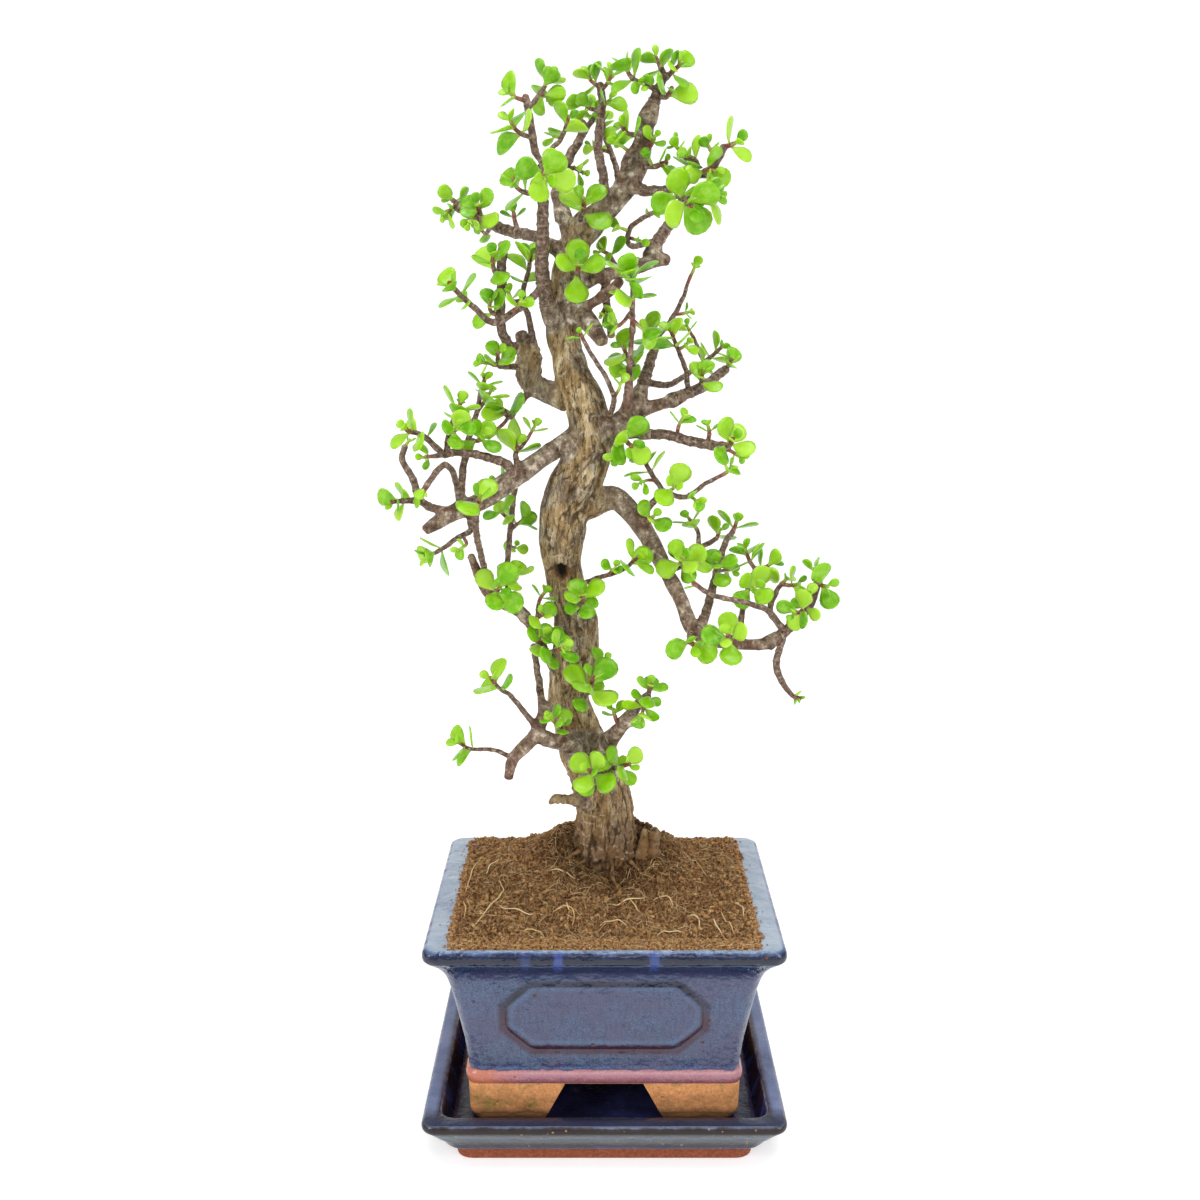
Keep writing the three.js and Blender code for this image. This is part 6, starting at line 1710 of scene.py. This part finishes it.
spray_colour = add("Mix", stalk, leaf_with_rim_sheen, ringed_twig, **COLOUR)
relief = add("Math", skin_noise, add("MapRange", stalk, 0, 1, 0.22, 1), **TIMES)
finish(Base_Color=spray_colour, Normal=add("Bump", Height=relief, Distance=0.6 * MM))
finish(Roughness=add("MapRange", stalk, 0, 1, 0.28, 0.7), Specular_IOR_Level=0.12)
finish(Subsurface_Weight=0.3, Subsurface_Radius=(0.8, 1, 0.15), Subsurface_Scale=0.0012)
finish(Coat_Weight=0.3, Coat_Roughness=0.12)
coat(leaf_skin, *spray_pieces)

# %% [markdown]
# Stoneware with a blue rutile glaze: glassy, darker where it is thick or broken over brown on the edges,
# paler grey blue on the flat top of the rim. Feet and saucer foot are bare terracotta, wiped clean before
# firing.
# The band above the feet has a thin mauve glaze. Colours follow the height, with noise that moves the limits.

# %% Glaze of the pot
def glaze_patterns(wander_size, cloud_size, sway):
    """The place, its x, y and z, three noises, the height in millimetres, its waver, and both together."""
    place = (add("TexCoord"), "Object")
    split = add("SeparateXYZ", place)
    wander = add("TexNoise", place, per_mm(wander_size), 3, 0.6)
    speckle = add("TexNoise", place, per_mm(0.8), 4, 0.8)
    cloud = add("TexNoise", place, per_mm(cloud_size), 4, 0.6)
    high = add("Math", (split, "Z"), TO_MM, **TIMES)
    waver = add("MapRange", wander, 0.3, 0.7, -sway, sway)
    return place, split, wander, speckle, cloud, high, waver, add("Math", high, waver, **PLUS)


glaze, add, finish = new_material("blue_rutile_glaze")
place, split, wander, speckle, cloud, high, waver, level = glaze_patterns(8, 20, 0.7)
body_stops = [
    (40.3, "#20223A"), (41, "#3E5682"), (42.6, "#2C3A5A"), (49, "#3B455C"), (71, "#3B4460"),
    (88, "#36425F"), (92.5, "#2A3554"), (98, "#1C2542"), (102.2, "#1E2A42"), (103.2, "#4E6A84"),
    (104, "#080E24"), (107.4, "#0A122E"), (109, "#142448"), (110.3, "#5E7398"),
]
body = by_height(level, 39, 111, body_stops)
blue_flecks = add("MapRange", speckle, 0.46, 0.62, 0, 0.65)
below_lip = add("MapRange", high, 98, 90)
blue_flecks = add("Math", blue_flecks, below_lip, **TIMES)
flecked = add("Mix", blue_flecks, body, "#566C92", **COLOUR)
runs = stretched_noise(place, 1.5, (1, 1, 0.1), 3, 0.6)
run_share = add("MapRange", runs, 0.5, 0.64, 0, 0.5)
run_share = add("Math", run_share, below_lip, **TIMES)
flecked = add("Mix", run_share, flecked, "#2C3048", **COLOUR)
purple_share = add("MapRange", cloud, 0.43, 0.6, 0, 0.5)
purple_share = add("Math", purple_share, below_lip, **TIMES)
purple = add("Mix", purple_share, flecked, "#47405C", **COLOUR)
DRIPS = [(-36, 4.5, 0.25), (-21, 4.5, 0.6), (22.4, 5, 0.55)]  # x, width and strength
sideways = add("Math", (split, "X"), TO_MM, **TIMES)
sideways = add("Math", sideways, waver, **PLUS)
drips = 0
for drip_x, width, strength in DRIPS:
    off = add("Math", add("Math", sideways, drip_x, **MINUS), **SIZE_OF)
    drip = add("MapRange", off, 0.3 * width, 0.6 * width, strength, 0)
    drips = add("Math", drips, drip, **LARGER)
on_lip = add("MapRange", high, 97, 101)
drips = add("Math", drips, on_lip, **TIMES)
dripped = add("Mix", drips, purple, "#3A4F98", **COLOUR)

# %% [markdown]
# Glaze runs thin on an edge. Round the panel that leaves a reddish line below and at the sides, and along the
# top, where the sunk panel's upper edge overhangs, a dark line of painted shadow. Pits in the glaze show
# rusty clay. The panel's edge is found by its outline: how far a point lies outside the level sides and the
# cut corners.

# %% Panel lines, pits and rim of the pot
PANEL_HALF_WIDTH, PANEL_HALF_HEIGHT, PANEL_CORNER = 46, 17.9, 12
across = add("Math", add("Math", (split, "X"), **SIZE_OF), TO_MM, **TIMES)
above_middle = add("Math", high, PANEL_MIDDLE_Z, **MINUS)
from_middle = add("Math", above_middle, **SIZE_OF)
side_gap = add("Math", across, PANEL_HALF_WIDTH, **MINUS)
level_gap = add("Math", from_middle, PANEL_HALF_HEIGHT, **MINUS)
straight_gap = add("Math", side_gap, level_gap, **LARGER)
both = add("Math", side_gap, level_gap, **PLUS)
corner_gap = add("Math", add("Math", both, PANEL_CORNER, **PLUS), math.sqrt(0.5), **TIMES)
panel_gap = add("Math", straight_gap, corner_gap, **LARGER)
off_line = add("Math", add("Math", panel_gap, 1, **MINUS), **SIZE_OF)
panel_line = add("MapRange", off_line, 1.3, 3, 1, 0)
depth = add("Math", (split, "Y"), **SIZE_OF)
long_side = add("MapRange", depth, 0.044, 0.045)
between_bands = add("MapRange", from_middle, 24, 22)
on_panel = add("Math", long_side, between_bands, **TIMES)
panel_line = add("Math", panel_line, on_panel, **TIMES)
line_height = add("MapRange", above_middle, -2, 9)
# Reddish thin glaze below and at the sides, and near-black navy along the top as painted shadow.
thin_glaze_and_shadow_colour = add("Mix", line_height, "#3A2030", "#080E26", **COLOUR)
line_share = add("MapRange", wander, 0.25, 0.6, 0.6, 1)
line_share = add("Math", line_share, panel_line, **TIMES)
lined_and_top_shadowed = add("Mix", line_share, dripped, thin_glaze_and_shadow_colour, **COLOUR)
pool = add("Math", add("Math", panel_gap, 2.6, **PLUS), **SIZE_OF)
pool_line = add("MapRange", pool, 0.4, 1.8, 0.15, 0)
pool_line = add("Math", pool_line, on_panel, **TIMES)
pooled = add("Mix", pool_line, lined_and_top_shadowed, "#5C86B0", **COLOUR)
pits = spots(place, 9, 0.9, 0.45)
pitted = add("Mix", pits, pooled, "#54301E", **COLOUR)
facing = add("SeparateXYZ", (add("NewGeometry"), "Normal"))
upward = add("MapRange", (facing, "Z"), 0.86, 0.97)
at_rim = add("MapRange", high, 108.8, 109.8)
flat_top = add("Math", upward, at_rim, **TIMES)
rim_top = add("ValToRGB", cloud, stops=[(0.32, "#728096"), (0.5, "#8493A6"), (0.68, "#9AA6B4")])
rim_top = laid(rim_top, "#A6B0BE", speckle, 0.42, 0.66, 0, 0.5)
rim_top = add("Mix", spots(place, 5, 0.45, 0.45), rim_top, "#2B2C38", **COLOUR)
glazed = add("Mix", flat_top, pitted, rim_top, **COLOUR)

# %% [markdown]
# Below the body comes the mauve band, with a painted highlight along its rounded top and an orange end on the
# left where the clay shows through, then the feet. The clay is orange brown, darker on the bevel at the
# bottom, with dark stains and a little green.

# %% Band and feet of the pot
# The band is lightest near its rounded top, at 39 mm: a painted highlight along it.
band_and_highlight_stops = [(33, "#6A3A38"), (35, "#82505A"), (37.6, "#986472"), (39, "#B8868A"), (39.8, "#A06C76")]
mauve = by_height(high, 32, 41, band_and_highlight_stops)
mauve = laid(mauve, "#C894A0", speckle, 0.4, 0.68, 0, 0.35)
waver_x = add("Math", (split, "X"), add("Math", wander, 0.03, **TIMES), **PLUS)
mauve = laid(mauve, "#C2704A", waver_x, -0.022, -0.044, 0, 0.75)
with_band = laid(glazed, mauve, level, 40.3, 39.8)
grit = add("TexNoise", place, per_mm(1.2), 4, 0.7)
stain = add("TexNoise", place, per_mm(10), 4, 0.65)
clay = add("ValToRGB", grit, stops=[(0.32, "#D28548"), (0.5, "#E8A065"), (0.68, "#F4B882")])
stained = laid(clay, "#8C6A3C", stain, 0.47, 0.6, 0, 0.35)
moss = add("TexNoise", place, per_mm(15), 3, 0.6)
mossy = laid(stained, "#7A8038", moss, 0.58, 0.66, 0, 0.5)
lower = laid(mossy, "#7A522C", level, 20.4, 17.4, 0, 0.75)
off_edge = add("Math", add("Math", level, 17.2, **MINUS), **SIZE_OF)
edge_line = add("Math", add("MapRange", off_edge, 0, 0.9, 1, 0), 0.5, **TIMES)
clay_all = add("Mix", edge_line, lower, "#4C3620", **COLOUR)
bare = add("MapRange", high, 33.35, 33.05)
gloss = add("MapRange", high, 90, 100, 0.17, 0.06)
flecks_rough = add("MapRange", speckle, 0.4, 0.65, 0, 0.12)
gloss = add("Math", gloss, flecks_rough, **PLUS)
matt = add("Math", bare, 0.85, **TIMES)
finish(Base_Color=add("Mix", bare, with_band, clay_all, **COLOUR))
finish(Roughness=add("Math", gloss, matt, **LARGER), IOR=1.52)
fine_relief = add("Math", speckle, 0.12, **TIMES)
relief = add("Math", add("Math", waver, pits, **MINUS), fine_relief, **PLUS)
finish(Normal=add("Bump", Height=relief, Distance=0.4 * MM))
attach(pot_piece, "root")
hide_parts("pot")
coat(glaze, pot_piece)

# %% [markdown]
# The saucer has a thicker, bluer glaze that ran off its edges, so they broke to dark brown with light specks.
# Its floor is deep cobalt, and the foot is bare red clay. The front of its flat rim gets painted shade and
# dark reflection from the pot above it.

# %% Glaze of the saucer
cobalt, add, finish = new_material("cobalt_saucer_glaze")
place, split, wander, speckle, cloud, high, _, level = glaze_patterns(7, 22, 0.5)
outside_stops = [
    (6.9, "#40589C"), (8.2, "#26305A"), (9.8, "#20262E"), (12, "#2C3030"), (15, "#2A3642"),
    (16.8, "#40596C"), (18.2, "#222E3C"), (19.4, "#160F0C"), (22, "#1C120E"), (23.2, "#342C30"),
    (23.8, "#5C6684"),
]
outside = by_height(level, 4, 24, outside_stops)
specked = add("Mix", spots(place, 3, 0.6, 0.3), outside, "#8C7048", **COLOUR)
inside_stops = [
    (12.6, "#1C2040"), (14.5, "#181828"), (17.5, "#1E1820"), (21.6, "#241A1C"), (23, "#3A3440"),
    (23.8, "#7C88A4"),
]
inside = by_height(level, 12, 24, inside_stops)
streaks = stretched_noise(place, 6, (1, 1, 0.2), 2, 0.5)
inside = laid(inside, "#2C3C80", streaks, 0.54, 0.62, 0, 0.7)
floor_stops = [(0.32, "#15162C"), (0.5, "#1E2142"), (0.68, "#2C3262")]
floor_colour = add("ValToRGB", cloud, stops=floor_stops)
floor_colour = laid(floor_colour, "#14131F", speckle, 0.4, 0.66, 0, 0.5)
facing = add("SeparateXYZ", (add("NewGeometry"), "Normal"))
upward = add("MapRange", (facing, "Z"), 0.7, 0.95)
low_down = add("MapRange", high, 16, 14)
floor_share = add("Math", upward, low_down, **TIMES)
size_x = add("Math", (split, "X"), **SIZE_OF)
size_y = add("Math", (split, "Y"), **SIZE_OF)
over_x = add("Math", size_x, SAUCER_HALF * MM, **MINUS)
over_y = add("Math", size_y, (SAUCER_HALF - SAUCER_BACK) * MM, **MINUS)
from_edge = add("Math", add("Math", over_x, over_y, **LARGER), -TO_MM, **TIMES)
walls = laid(specked, inside, from_edge, 7, 7.8)
rim_top = add("ValToRGB", cloud, stops=[(0.32, "#56648A"), (0.5, "#6C7AA2"), (0.68, "#8490B2")])
rim_top = laid(rim_top, "#444C6C", speckle, 0.4, 0.66, 0, 0.6)
rim_level = add("MapRange", high, 22.6, 23.6)
rim_share = add("Math", upward, rim_level, **TIMES)
rim_top = laid(rim_top, "#33262A", from_edge, 5.4, 7.2, 0, 0.85)
# The front of the rim top is painted dark: painted shade and reflection under the pot's overhanging front.
rim_top = laid(rim_top, "#16192C", (split, "Y"), -0.052, -0.06, 0, 0.85)
with_floor = add("Mix", floor_share, walls, floor_colour, **COLOUR)
glazed = add("Mix", rim_share, with_floor, rim_top, **COLOUR)
bare = add("MapRange", high, 6.85, 6.6)
grit = add("TexNoise", place, per_mm(1.2), 4, 0.7)
red_clay = add("ValToRGB", grit, stops=[(0.32, "#6E341E"), (0.5, "#86452A"), (0.68, "#9C5A3A")])
gloss = add("MapRange", speckle, 0.4, 0.65, 0.05, 0.13)
matt = add("Math", bare, 0.85, **TIMES)
finish(Base_Color=add("Mix", bare, glazed, red_clay, **COLOUR))
finish(Roughness=add("Math", gloss, matt, **LARGER), IOR=1.52, Specular_IOR_Level=0.35)
relief = add("Math", wander, add("Math", speckle, 0.12, **TIMES), **PLUS)
finish(Normal=add("Bump", Height=relief, Distance=0.5 * MM))
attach(saucer_piece, "root")
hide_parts("saucer")
coat(cobalt, saucer_piece)

# %% [markdown]
# Potting mix of coir and peat: dry, matt and mottled from dark brown to tan. Round the foot of the trunk it
# is
# darker: damp there, with painted shade under the tree. Fibres are straw coloured.

# %% Soil, crumbs and fibres
coir, add, finish = new_material("coir_and_peat")
place = (add("TexCoord"), "Object")
tint = (add("Attribute", attribute_name="tint"), "Fac")
coarse = add("TexNoise", place, per_mm(6), 5, 0.7)
fine = add("TexNoise", place, per_mm(1.3), 5, 0.8)
brown_stops = [(0.37, "#241406"), (0.45, "#835630"), (0.53, "#C89865"), (0.63, "#FADDB0")]
brown = add("ValToRGB", fine, stops=brown_stops)
reddish = laid(brown, "#8A5630", coarse, 0.42, 0.62, 0, 0.5)
tanned = laid(reddish, "#C09862", tint, 0.45, 1, 0, 0.75)
darker = laid(tanned, "#452A17", tint, 0, 0.25, 0.5, 0)
level_place = add("Mapping", place, Scale=(1, 1, 0))
from_trunk = add("VectorMath", level_place, (0.002, 0.012, 0), operation="DISTANCE")
from_trunk = add("Math", from_trunk, add("Math", coarse, 0.02, **TIMES), **PLUS)
# Darker soil near the trunk: damp, and painted shade under the tree.
damp_and_shade_share = add("MapRange", from_trunk, 0.052, 0.034, 0, 0.7)
finish(Base_Color=add("Mix", damp_and_shade_share, darker, "#3A2413", **COLOUR), Roughness=0.95)
finish(Specular_IOR_Level=0.15, Normal=add("Bump", Height=fine, Distance=1.6 * MM))
coat(coir, heap, crumb_piece)

straw, add, finish = new_material("coir_fibre")
tint = (add("Attribute", attribute_name="tint"), "Fac")
straw_stops = [(0, "#5E3E20"), (0.45, "#A07846"), (0.75, "#D2AC70"), (1, "#F0DCB4")]
finish(Base_Color=add("ValToRGB", tint, stops=straw_stops), Roughness=0.75)
coat(straw, fibre_piece)

# %% [markdown]
# The drain screen under the soil is moulded polyethylene. Its solid piece is as fine as the real one, so it
# stays and only gets its finish.

# %% Drain screen
screen_plastic, add, finish = new_material("moulded_polyethylene")
finish(Base_Color="#20242A", Roughness=0.5)
screen = bpy.data.objects["drain_screen"]
coat(screen_plastic, screen)
